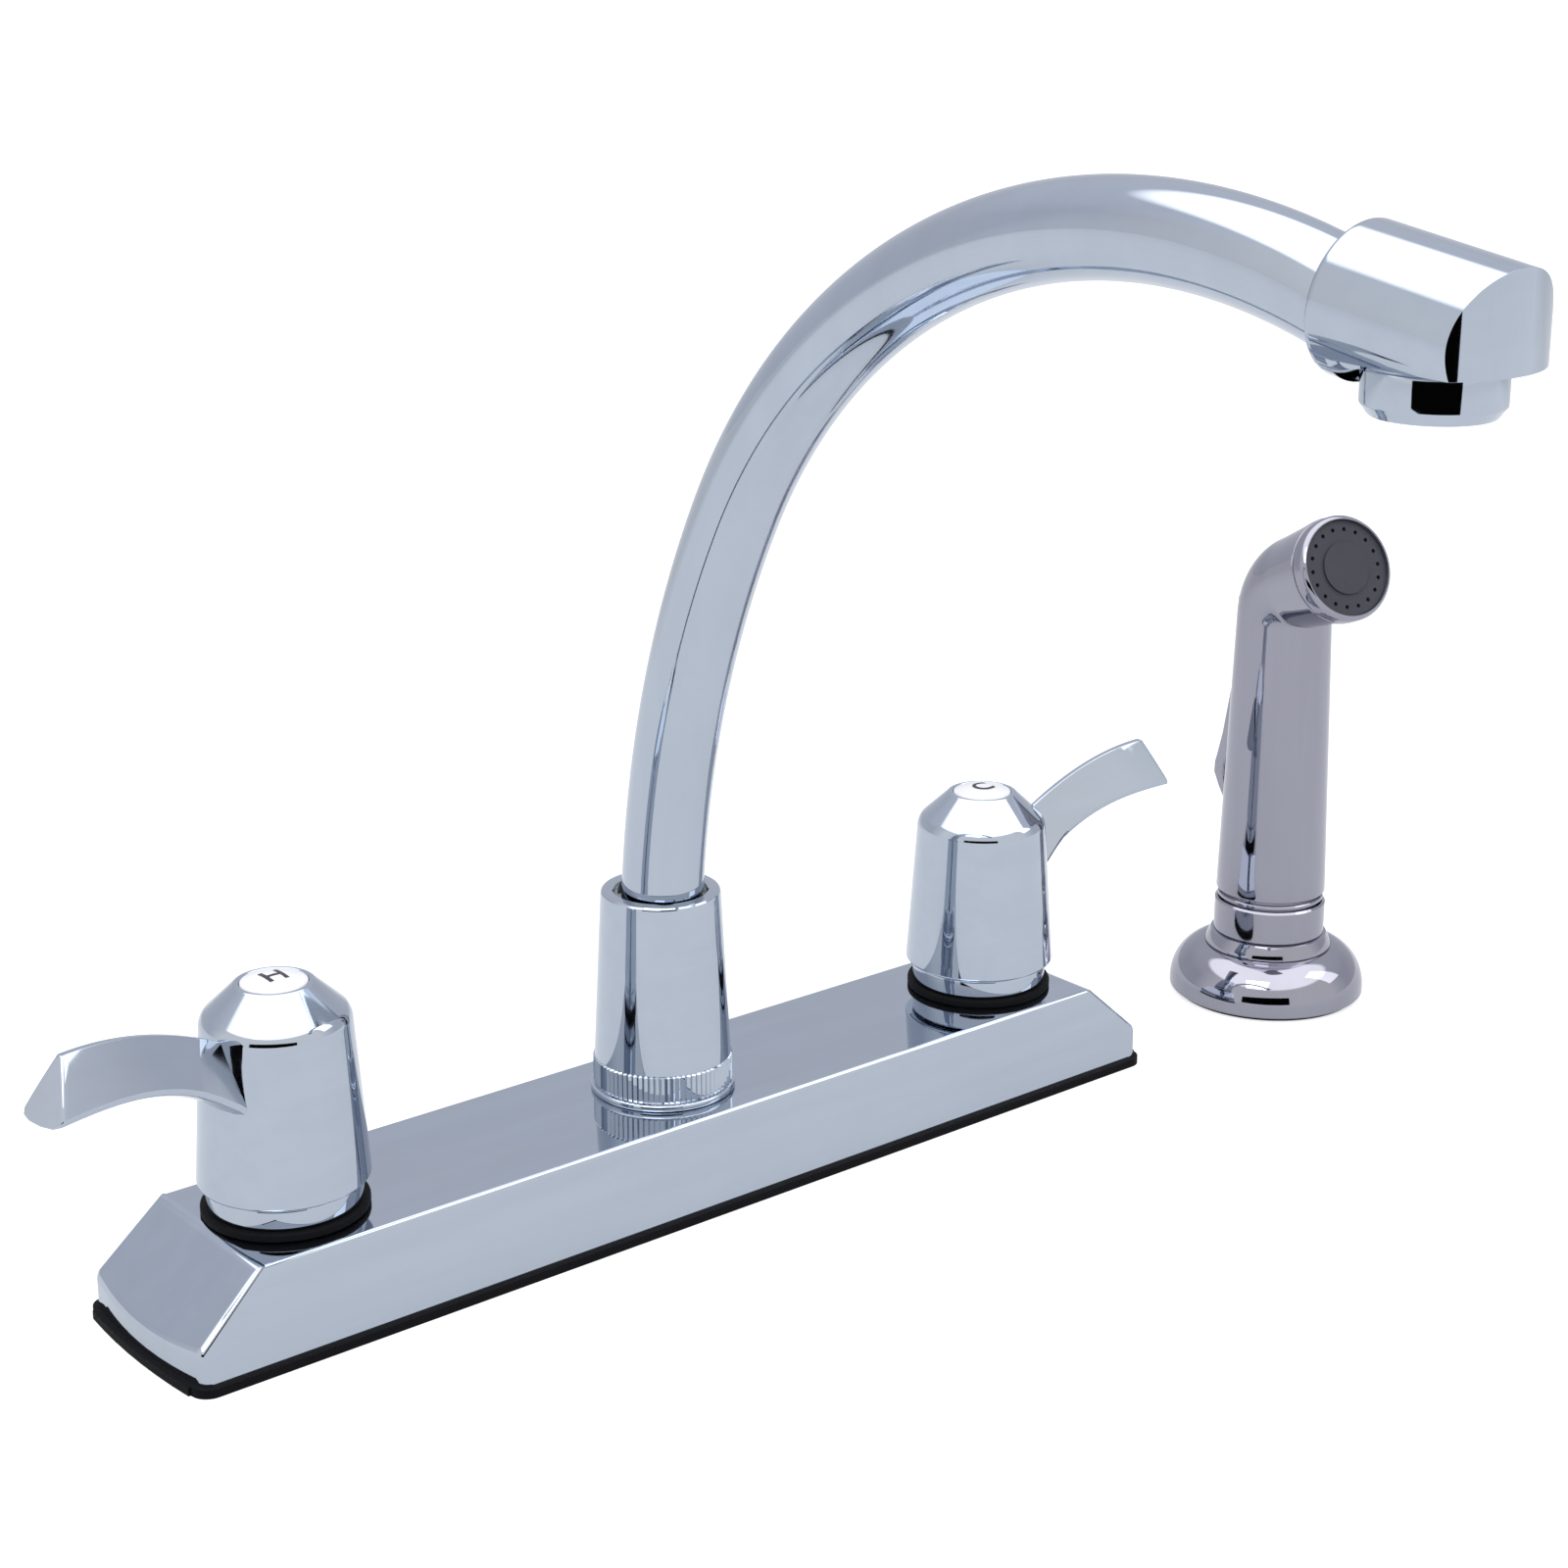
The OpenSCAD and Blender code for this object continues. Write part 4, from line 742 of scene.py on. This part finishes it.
class FAUCET_OT_collars(bpy.types.Operator):
    """Make the collars under the handles, and their washers"""
    bl_idname = "faucet.collars"
    bl_label = "Bonnet collars"

    def execute(self, context):
        p = millimetres(context.scene.faucet_handle)
        bore, outer = 8.2, p.collar_radius
        neck, neck_top = outer - 2.1, p.collar_top + 1.5
        for name, side, _ in SIDES:
            bm = turned([(bore, p.collar_foot), (outer, p.collar_foot), (outer, p.collar_top),
                         (neck, p.collar_top), (neck, neck_top), (bore, neck_top)],
                        closed=True, steps=128)
            soften(bm, 0.7, 4, at=lambda co: off_axis(co) > outer - 0.1)
            piece(f"{name}_collar", bm, "faucet_base", "chrome", "bonnet_collars",
                  place=(side * p.offset, 0))
            bm = turned([(p.washer_bore, p.washer_foot), (p.washer_radius, p.washer_foot),
                         (p.washer_radius, p.collar_foot), (p.washer_bore, p.collar_foot)],
                        closed=True, steps=128)
            soften(bm, 0.5, 3, at=lambda co: off_axis(co) > outer)
            piece(f"{name}_washer", bm, "faucet_base", "rubber", "collar_washers",
                  place=(side * p.offset, 0))
        return {"FINISHED"}


class FAUCET_OT_sleeve(bpy.types.Operator):
    """Make the sleeve with its ribbed band, and the ring under it"""
    bl_idname = "faucet.sleeve"
    bl_label = "Spout sleeve"

    def execute(self, context):
        p = millimetres(context.scene.faucet_spout)
        post_bore, plate_top = 12.05, 23.8
        bm = turned([(post_bore, plate_top), (p.ring_radius, plate_top),
                     (p.ring_radius, p.sleeve), (post_bore, p.sleeve)], closed=True)
        soften(bm, 0.5, 3, at=lambda co: off_axis(co) > 13)
        piece("spout_foot_ring", bm, "faucet_base", "chrome", "spout_base_ring")

        foot_bore, foot_bore_top = 12.15, 50
        bore = p.tube_radius + 1.4
        foot, top = p.sleeve_foot_radius, p.sleeve_top_radius
        band_top = p.sleeve + p.band_height
        bm = turned([(foot_bore, p.sleeve), (foot - 0.5, p.sleeve), (foot, p.sleeve + 0.6),
                     (foot, band_top - 0.5), (foot - 0.25, band_top - 0.2),
                     (foot - 0.35, band_top), (top, p.sleeve_top - 1.0),
                     (top - 0.12, p.sleeve_top - 0.5), (top - 0.4, p.sleeve_top - 0.12),
                     (top - 0.9, p.sleeve_top), (bore + 0.3, p.sleeve_top),
                     (bore, p.sleeve_top - 0.3), (bore, p.sleeve_top - 4),
                     (foot_bore, foot_bore_top)], closed=True, steps=2 * p.ribs)
        rib_depth = 0.45
        for vert in bm.verts:
            radius = off_axis(vert.co)
            if radius > foot - 0.3 and vert.co.z < band_top - 0.1:
                step = round(math.atan2(vert.co.y, vert.co.x) / FULL_TURN * 2 * p.ribs)
                if step % 2:
                    vert.co.xy *= (radius - rib_depth) / radius
        piece("spout_grip_sleeve", bm, "faucet_base", "chrome", "spout_sleeve", smooth=15,
              weighted=True)
        return {"FINISHED"}


class FAUCET_OT_tube(bpy.types.Operator):
    """Bend the spout tube"""
    bl_idname = "faucet.tube"
    bl_label = "Spout tube"

    def execute(self, context):
        p = millimetres(context.scene.faucet_spout)
        bm = bmesh.new()
        bmesh.ops.create_circle(bm, radius=p.tube_radius, segments=80)
        bmesh.ops.translate(bm, vec=(0, 0, p.tube_foot), verts=bm.verts[:])
        made = bmesh.ops.extrude_edge_only(bm, edges=bm.edges[:])["geom"]
        bmesh.ops.translate(bm, vec=(0, 0, p.bend_start - p.tube_foot),
                            verts=only(BMVert, made))
        last = [e for e in only(BMEdge, made)
                if min(v.co.z for v in e.verts) > p.bend_start - 0.1]
        start = Vector((0, 0, p.bend_start))
        heading = 0.0
        for radius, bend in ((p.easy_radius, p.easy_turn), (p.main_radius, p.main_turn)):
            centre = start + radius * Vector((0, -math.cos(heading), -math.sin(heading)))
            made = bmesh.ops.spin(bm, geom=list({v for e in last for v in e.verts}) + last,
                                  cent=centre, axis=(1, 0, 0), angle=bend,
                                  steps=max(12, round(math.degrees(bend))), use_merge=False)
            last = only(BMEdge, made["geom_last"])
            heading += bend
            start = centre - radius * Vector((0, -math.cos(heading), -math.sin(heading)))
        weld(bm)
        bmesh.ops.solidify(bm, geom=bm.faces[:], thickness=p.tube_wall)
        piece("spout_bent_tube", bm, "spout", "chrome", "spout_tube",
              finish="Drawn tube plating")
        return {"FINISHED"}


def nose_reach(p, x):
    """Reach of the rounded nose at a distance x from the middle."""
    return p.nose_axis + math.sqrt(p.nose_radius ** 2 - x * x)


class FAUCET_OT_head(bpy.types.Operator):
    """Make the spout head: round behind, rounded nose in plan, flat underside"""
    bl_idname = "faucet.head"
    bl_label = "Spout head"

    def execute(self, context):
        p = millimetres(context.scene.faucet_spout)
        out = Vector((0, -math.cos(p.head_fall), -math.sin(p.head_fall)))
        up = Vector((0, -math.sin(p.head_fall), math.cos(p.head_fall)))
        rim = Vector((0, -p.head_rim_reach, p.head_rim))
        count = 96
        rows = [circle_row(rim + distance * out, p.head_radius, count, up)
                for distance in (0, 1.5, 4, 8, 12, 16, 18.5)]
        rows.append([place + (nose_reach(p, place.x) + place.y) / -out.y * out
                     for place in rows[0]])
        bm = bmesh.new()
        verts = sweep(bm, rows)
        half = count // 2
        for i in range(1, half):
            if i != half // 2 or verts[i].co.z - verts[count - i].co.z > 1:
                bmesh.ops.connect_verts(bm, verts=[verts[i], verts[count - i]])
        flatten_underside(bm, p)
        weld(bm)
        near = 0.05
        soften(bm, 0.35, 2, at=lambda co: abs(-co.y - nose_reach(p, co.x)) < near
               and co.z > p.flat + near)
        soften(bm, 0.9, 4, fold=40, at=lambda co: abs((co - rim).dot(out)) < near)
        soften(bm, 0.3, 2, at=lambda co: abs(co.z - p.flat) < near)
        piece("spout_cast_head", bm, "spout", "chrome", "spout_head", smooth=30,
              weighted=True)
        return {"FINISHED"}


def flatten_underside(bm, p):
    """Cuts the head level from behind the aerator to its nose."""
    def on_flat(place):
        return abs(place.z - p.flat) < 0.01

    def on_step(place):
        return abs(place.y + p.flat_reach) < 0.01

    cut(bm, (0, -p.flat_reach, 0), (0, -1, 0))
    front = [f for f in bm.faces if -f.calc_center_median().y > p.flat_reach]
    cut(bm, (0, 0, p.flat), (0, 0, -1), front, clear_outer=True)
    corners = [v for v in bm.verts if on_flat(v.co) and on_step(v.co)]
    if len(corners) != 2:
        raise RuntimeError(f"the underside's step has {len(corners)} corners")
    bm.edges.new(corners)
    for on_face in (on_flat, on_step):
        cap(bm, [e for e in bm.edges if len(e.link_faces) < 2
                 and all(on_face(v.co) for v in e.verts)])


class FAUCET_OT_aerator(bpy.types.Operator):
    """Make the aerator housing"""
    bl_idname = "faucet.aerator"
    bl_label = "Aerator housing"

    def execute(self, context):
        p = millimetres(context.scene.faucet_spout)
        outer, foot, outlet = p.aerator_radius, p.aerator_foot, p.outlet_radius
        bm = turned([
            (outlet, foot + 0.5), (outlet + 0.5, foot), (outer - 1.6, foot),
            (outer - 1.1, foot + 0.5), (outer - 0.9, foot + 0.9), (outer, foot + 2.0),
            (outer, p.flat - 0.7), (outer - 0.5, p.flat - 0.35), (outer - 0.5, p.flat + 0.2),
            (outlet, p.flat + 0.2)], closed=True, steps=128)
        soften(bm, 0.22, 3, fold=30, at=lambda co: off_axis(co) > outer - 0.8)
        piece("aerator_shell", bm, "spout", "chrome", "aerator_housing",
              place=(0, -p.aerator_reach), smooth=32)
        return {"FINISHED"}


class FAUCET_OT_sprayer_base(bpy.types.Operator):
    """Make the sprayer's flange and collar"""
    bl_idname = "faucet.sprayer_base"
    bl_label = "Sprayer base"

    def execute(self, context):
        p = millimetres(context.scene.faucet_sprayer)
        outer, foot, neck = p.bell_radius, p.bell_foot, p.neck_radius
        holder_bore, hose_bore, hose_bore_foot = 12.45, 10.6, 15.1
        bell_start, inner = foot + 1.6, neck - 0.6
        bell = [(between(inner, outer, math.cos(a)), between(bell_start, p.bell_top, math.sin(a)))
                for a in (math.radians(90 * i / 20) for i in range(21))]
        bm = turned([(holder_bore, foot + 3), (outer - 2, foot), (outer - 0.3, foot),
                     (outer, foot + 0.4), *bell, (neck, p.bell_top + 0.1),
                     (neck, p.bell_top + 0.7), (neck - 1.1, p.flange_top - 0.9),
                     (neck - 1.5, p.flange_top - 0.2), (p.collar_radius + 0.2, p.flange_top),
                     (hose_bore, p.flange_top), (hose_bore, hose_bore_foot),
                     (holder_bore, hose_bore_foot)], closed=True, steps=144)
        piece("sprayer_bell", bm, "faucet_base", "spray_chrome", "sprayer_flange",
              place=(p.x, p.y), smooth=34)

        radius, groove, bore = p.collar_radius, p.grip_foot_radius - 1.6, 8.65
        foot, top = p.flange_top, p.collar_top
        bm = turned([(bore, foot), (radius - 0.5, foot), (radius, foot + 0.5),
                     (radius, top - 0.5), (radius - 0.5, top), (groove, top),
                     (groove, top + 0.5), (radius - 0.9, top + 0.5),
                     (radius - 0.7, top + 0.7), (radius - 0.7, top + 1.4),
                     (radius - 0.9, top + 1.6), (groove, top + 1.6), (groove, p.grip),
                     (bore, p.grip)], closed=True, steps=128)
        piece("sprayer_grip_collar", bm, "sprayer", "spray_chrome", "sprayer_collar",
              place=(p.x, p.y), smooth=34)
        return {"FINISHED"}


def sprayer_rows(p):
    """Rings of the sprayer's swept form, up the grip, round the elbow and out to the face."""
    lean = math.pi / 2 - p.rise
    top_radius = p.grip_top_radius
    arm = top_radius + 0.3
    valley = p.elbow - top_radius * math.tan(lean / 2)
    rings = [(0.0, between(p.grip, valley, u), 0.0, between(p.grip_foot_radius, top_radius, u))
             for u in (i / 12 for i in range(13))]
    rings += [(arm * (math.cos(a) - 1), valley + arm * math.sin(a), a, top_radius)
              for a in (lean * i / 18 for i in range(1, 19))]
    y, z = rings[-1][:2]
    run = p.head_length - p.ring_depth - math.hypot(y, z - p.elbow)
    rings += [(y - run * u * math.sin(lean), z + run * u * math.cos(lean), lean,
               between(top_radius, p.head_radius, u)) for u in (i / 6 for i in range(1, 7))]
    return [circle_row((0, y, z), radius, 112, (0, math.cos(a), math.sin(a)))
            for y, z, a, radius in rings]


class FAUCET_OT_sprayer_body(bpy.types.Operator):
    """Make the sprayer's grip and head in one swept form, and the ring at its face"""
    bl_idname = "faucet.sprayer_body"
    bl_label = "Sprayer body"

    def execute(self, context):
        p = millimetres(context.scene.faucet_sprayer)
        bm = bmesh.new()
        sweep(bm, sprayer_rows(p))
        soften(bm, 0.6, 3, fold=50, at=lambda co: co.z < p.grip + 0.1)
        cut_trigger_slot(bm, p)
        piece("sprayer_grip_and_head", bm, "sprayer", "spray_chrome", "sprayer_body",
              place=(p.x, p.y), facing=-p.facing, smooth=40)

        start, end = p.head_length - p.ring_depth, p.head_length
        outer, bore = p.head_radius, p.face_radius + 0.05
        bm = turned([(bore, start), (outer, start), (outer, start + 0.4),
                     (outer - 0.25, start + 0.5), (outer - 0.25, start + 0.9),
                     (outer, start + 1.0), (outer, end - 1.3), (outer - 0.5, end - 0.35),
                     (outer - 1.0, end), (bore + 0.2, end), (bore, end - 0.4)],
                    closed=True, steps=128)
        bmesh.ops.transform(bm, verts=bm.verts[:], matrix=Matrix.Translation((0, 0, p.elbow))
                            @ Matrix.Rotation(math.pi / 2 - p.rise, 4, "X"))
        piece("sprayer_face_bezel", bm, "sprayer", "spray_chrome", "spray_face_ring",
              place=(p.x, p.y), facing=-p.facing, smooth=34)
        return {"FINISHED"}


def cut_trigger_slot(bm, p):
    """Sinks a slot for the trigger into the back of the grip."""
    half = p.trigger_width / 2 + 0.5

    def within(face, back, margin):
        middle = face.calc_center_median()
        return middle.y > back and p.slot_foot - margin < middle.z < p.slot_top + margin

    for place, normal in (((half, 0, 0), (1, 0, 0)), ((-half, 0, 0), (1, 0, 0)),
                          ((0, 0, p.slot_foot), (0, 0, 1)), ((0, 0, p.slot_top), (0, 0, 1))):
        cut(bm, place, normal, [f for f in bm.faces if within(f, 1, 6)])
    inside = [f for f in bm.faces
              if within(f, p.slot_floor, 0) and abs(f.calc_center_median().x) < half]
    made = bmesh.ops.extrude_face_region(bm, geom=inside)["geom"]
    bmesh.ops.delete(bm, geom=inside, context="FACES_ONLY")
    for vert in only(BMVert, made):
        vert.co.y = p.slot_floor
    bmesh.ops.recalc_face_normals(bm, faces=bm.faces[:])


# Outline of the trigger: how far back and how far down, in shares
TRIGGER_OUTLINE = [(0.20, -0.02), (0.36, 0.18), (0.50, 0.43), (0.75, 0.66), (0.92, 0.77),
                   (0.99, 0.81), (1.0, 0.86), (0.80, 0.92), (0.62, 0.96), (0.50, 0.99),
                   (0.38, 0.98), (0.55, 0.90), (0.62, 0.85), (0.60, 0.79), (0.36, 0.59),
                   (0.16, 0.36), (0.04, 0.16), (-0.10, 0.03)]


class FAUCET_OT_trigger(bpy.types.Operator):
    """Make the spray trigger"""
    bl_idname = "faucet.trigger"
    bl_label = "Spray trigger"

    def execute(self, context):
        p = millimetres(context.scene.faucet_sprayer)
        bm = prism([(-p.trigger_width / 2, p.trigger_back + back * p.trigger_kick,
                     p.trigger_pivot - down * p.trigger_length)
                    for back, down in TRIGGER_OUTLINE], (p.trigger_width, 0, 0))
        soften(bm, 1.0, 4, fold=60)
        piece("sprayer_trigger", bm, "trigger", "spray_chrome", "spray_trigger",
              place=(p.x, p.y), facing=-p.facing, smooth=40, weighted=True)
        return {"FINISHED"}


def bare_board(owner, output):
    """An empty board on a material or a world, and its output node."""
    owner.use_nodes = True
    owner.node_tree.nodes.clear()
    board = Board(owner.node_tree)
    return board, board.add(output)


class FAUCET_OT_studio(bpy.types.Operator):
    """Set the camera, the floor and the soft light"""
    bl_idname = "faucet.studio"
    bl_label = "Studio"

    def execute(self, context):
        p = context.scene.faucet_studio
        context.scene.view_settings.view_transform = "Standard"
        self.make_camera(p)
        self.make_floor(p)
        self.make_sky(p)
        self.make_lamp("Key softbox", (-1.1, -0.7, 1.7), (0.9, 0.9), 9.0)
        self.make_lamp("Fill softbox", (1.3, -0.9, 1.3), (0.7, 1.2), 4.0)
        self.make_card((-0.457, -0.557, 0.13), (0.9, 0.26), (0, 0, 0.13))
        return {"FINISHED"}

    def make_camera(self, p):
        """The camera of the photograph, fitted to measured points."""
        camera = bpy.data.cameras.new("Photo view")
        camera.lens = p.lens
        camera.sensor_width = 36.0
        camera.shift_y = p.rise
        camera.clip_start = 0.01
        camera.clip_end = 100.0
        holder = bpy.data.objects.new("Photo view", camera)
        holder.location = (p.camera_x, p.camera_y, p.camera_z)
        holder.rotation_euler = (math.pi / 2 + p.pitch, 0.0, p.heading)
        bpy.context.scene.collection.objects.link(holder)
        bpy.context.scene.camera = holder

    def make_floor(self, p):
        """A pale floor that glows white for the camera and faintly for mirrors."""
        material = bpy.data.materials.new("Pale floor")
        board, out = bare_board(material, "ShaderNodeOutputMaterial")
        where = board.place()
        matt_part, mottling, glow_strength = 0.45, 0.97, 0.72
        mottle = board.span(board.noise(where, 6.0), 0.3, 0.7)
        pale = [c * matt_part for c in p.floor_colour]
        matt = board.add("ShaderNodeBsdfDiffuse", {
            "Color": board.blend(mottle, pale, [c * mottling for c in pale])})
        far = board.span(board.away(where), 0.25, 0.7, 0.5, 0.25)
        rays = board.add("ShaderNodeLightPath").outputs
        mirrored = board.math("MULTIPLY", rays["Is Glossy Ray"], far)
        seen = board.math("MAXIMUM", rays["Is Camera Ray"], mirrored)
        glow = board.add("ShaderNodeEmission", {
            "Color": (1.0, 1.0, 1.0),
            "Strength": board.math("MULTIPLY", seen, glow_strength)})
        both = board.add("ShaderNodeAddShader", {0: matt.outputs[0], 1: glow.outputs[0]})
        board.fill(out, {"Surface": both.outputs[0]})
        bm = bmesh.new()
        bmesh.ops.create_circle(bm, cap_ends=True, radius=9.0, segments=96)
        bmesh.ops.translate(bm, vec=(0, 0, -0.00005), verts=bm.verts[:])
        floor = new_object("studio_floor", bm, material)

    def make_sky(self, p):
        """Pale walls and a bright ceiling for mirrors, plain white for the camera."""
        world = bpy.data.worlds.new("Studio")
        bpy.context.scene.world = world
        board, out = bare_board(world, "ShaderNodeOutputWorld")
        where = board.place("Generated")
        height = board.add("ShaderNodeSeparateXYZ", {0: where}).outputs["Z"]
        ramp = board.add("ShaderNodeValToRGB", {"Fac": height})
        elements = ramp.color_ramp.elements
        stops = [(0.0, 1.0), (0.4, 1.0), (0.55, 1.12), (1.0, 1.3)]
        for level, _ in stops[1:-1]:
            elements.new(level)
        for element, (level, gain) in zip(elements, stops):
            element.position = level
            element.color = (*(c * gain for c in p.low_sky), 1.0)
        away = board.away(where)
        camera_side = board.span(away, 0.25, -0.2)
        walls = board.blend(camera_side, ramp.outputs["Color"], p.front_sky)
        tilt = board.math("MULTIPLY", away, 0.1)
        overhead = board.span(board.math("SUBTRACT", height, tilt), 0.66, 0.71)
        ceiling = [c * p.ceiling for c in p.high_sky]
        light = board.add("ShaderNodeBackground", {
            "Color": board.blend(overhead, walls, ceiling)})
        white = board.add("ShaderNodeBackground", {"Color": (1.0, 1.0, 1.0)})
        rays = board.add("ShaderNodeLightPath").outputs
        pick = board.add("ShaderNodeMixShader", {
            "Fac": rays["Is Camera Ray"], 1: light.outputs[0], 2: white.outputs[0]})
        board.fill(out, {"Surface": pick.outputs[0]})

    def make_lamp(self, name, place, size, power):
        """A softbox aimed at the faucet."""
        light = bpy.data.lights.new(name, "AREA")
        light.shape = "RECTANGLE"
        light.size, light.size_y = size
        light.energy = power
        lamp = bpy.data.objects.new(name, light)
        lamp.location = place
        aim = Vector((0, 0, 0.08)) - Vector(place)
        lamp.rotation_euler = aim.to_track_quat("-Z", "Y").to_euler()
        bpy.context.scene.collection.objects.link(lamp)

    def make_card(self, place, size, target):
        """A black card in front that only mirrors see."""
        board, shader = new_material("Black card")
        board.fill(shader, {"Base Color": (0.002, 0.002, 0.002), "Roughness": 1.0,
                            "Specular IOR Level": 0.0})
        bm = bmesh.new()
        bmesh.ops.create_grid(bm, x_segments=1, y_segments=1, size=0.5)
        aim = (Vector(target) - Vector(place)).to_track_quat("Z", "Y")
        bmesh.ops.transform(bm, verts=bm.verts[:], matrix=Matrix.LocRotScale(
            Vector(place), aim, Vector((*size, 1))))
        card = new_object("dark_front_card", bm, bpy.data.materials["Black card"])
        card.visible_camera = False
        card.visible_diffuse = False
        card.visible_shadow = False


OPERATORS = [FAUCET_OT_finishes, FAUCET_OT_plate, FAUCET_OT_collars, FAUCET_OT_handles,
             FAUCET_OT_buttons, FAUCET_OT_sleeve, FAUCET_OT_tube, FAUCET_OT_head,
             FAUCET_OT_aerator, FAUCET_OT_sprayer_base, FAUCET_OT_sprayer_body,
             FAUCET_OT_trigger, FAUCET_OT_studio]


class FAUCET_PT_panel(bpy.types.Panel):
    """Lists the faucet's pieces"""
    bl_idname = "FAUCET_PT_panel"
    bl_label = "Faucet"
    bl_space_type = "VIEW_3D"
    bl_region_type = "UI"
    bl_category = "Faucet"

    def draw(self, context):
        for operator in OPERATORS:
            self.layout.operator(operator.bl_idname)


GROUPS = {"faucet_plate": PlateSizes, "faucet_handle": HandleSizes,
          "faucet_spout": SpoutSizes, "faucet_sprayer": SprayerSizes,
          "faucet_finish": FinishColours, "faucet_studio": StudioSettings}


def register():
    for cls in [*GROUPS.values(), *OPERATORS, FAUCET_PT_panel]:
        bpy.utils.register_class(cls)
    for name, cls in GROUPS.items():
        setattr(bpy.types.Scene, name, PointerProperty(type=cls))


def unregister():
    for name in GROUPS:
        delattr(bpy.types.Scene, name)
    for cls in reversed([*GROUPS.values(), *OPERATORS, FAUCET_PT_panel]):
        bpy.utils.unregister_class(cls)


def main():
    register()
    for operator in OPERATORS:
        area, name = operator.bl_idname.split(".")
        getattr(getattr(bpy.ops, area), name)()


if __name__ == "__main__":
    main()
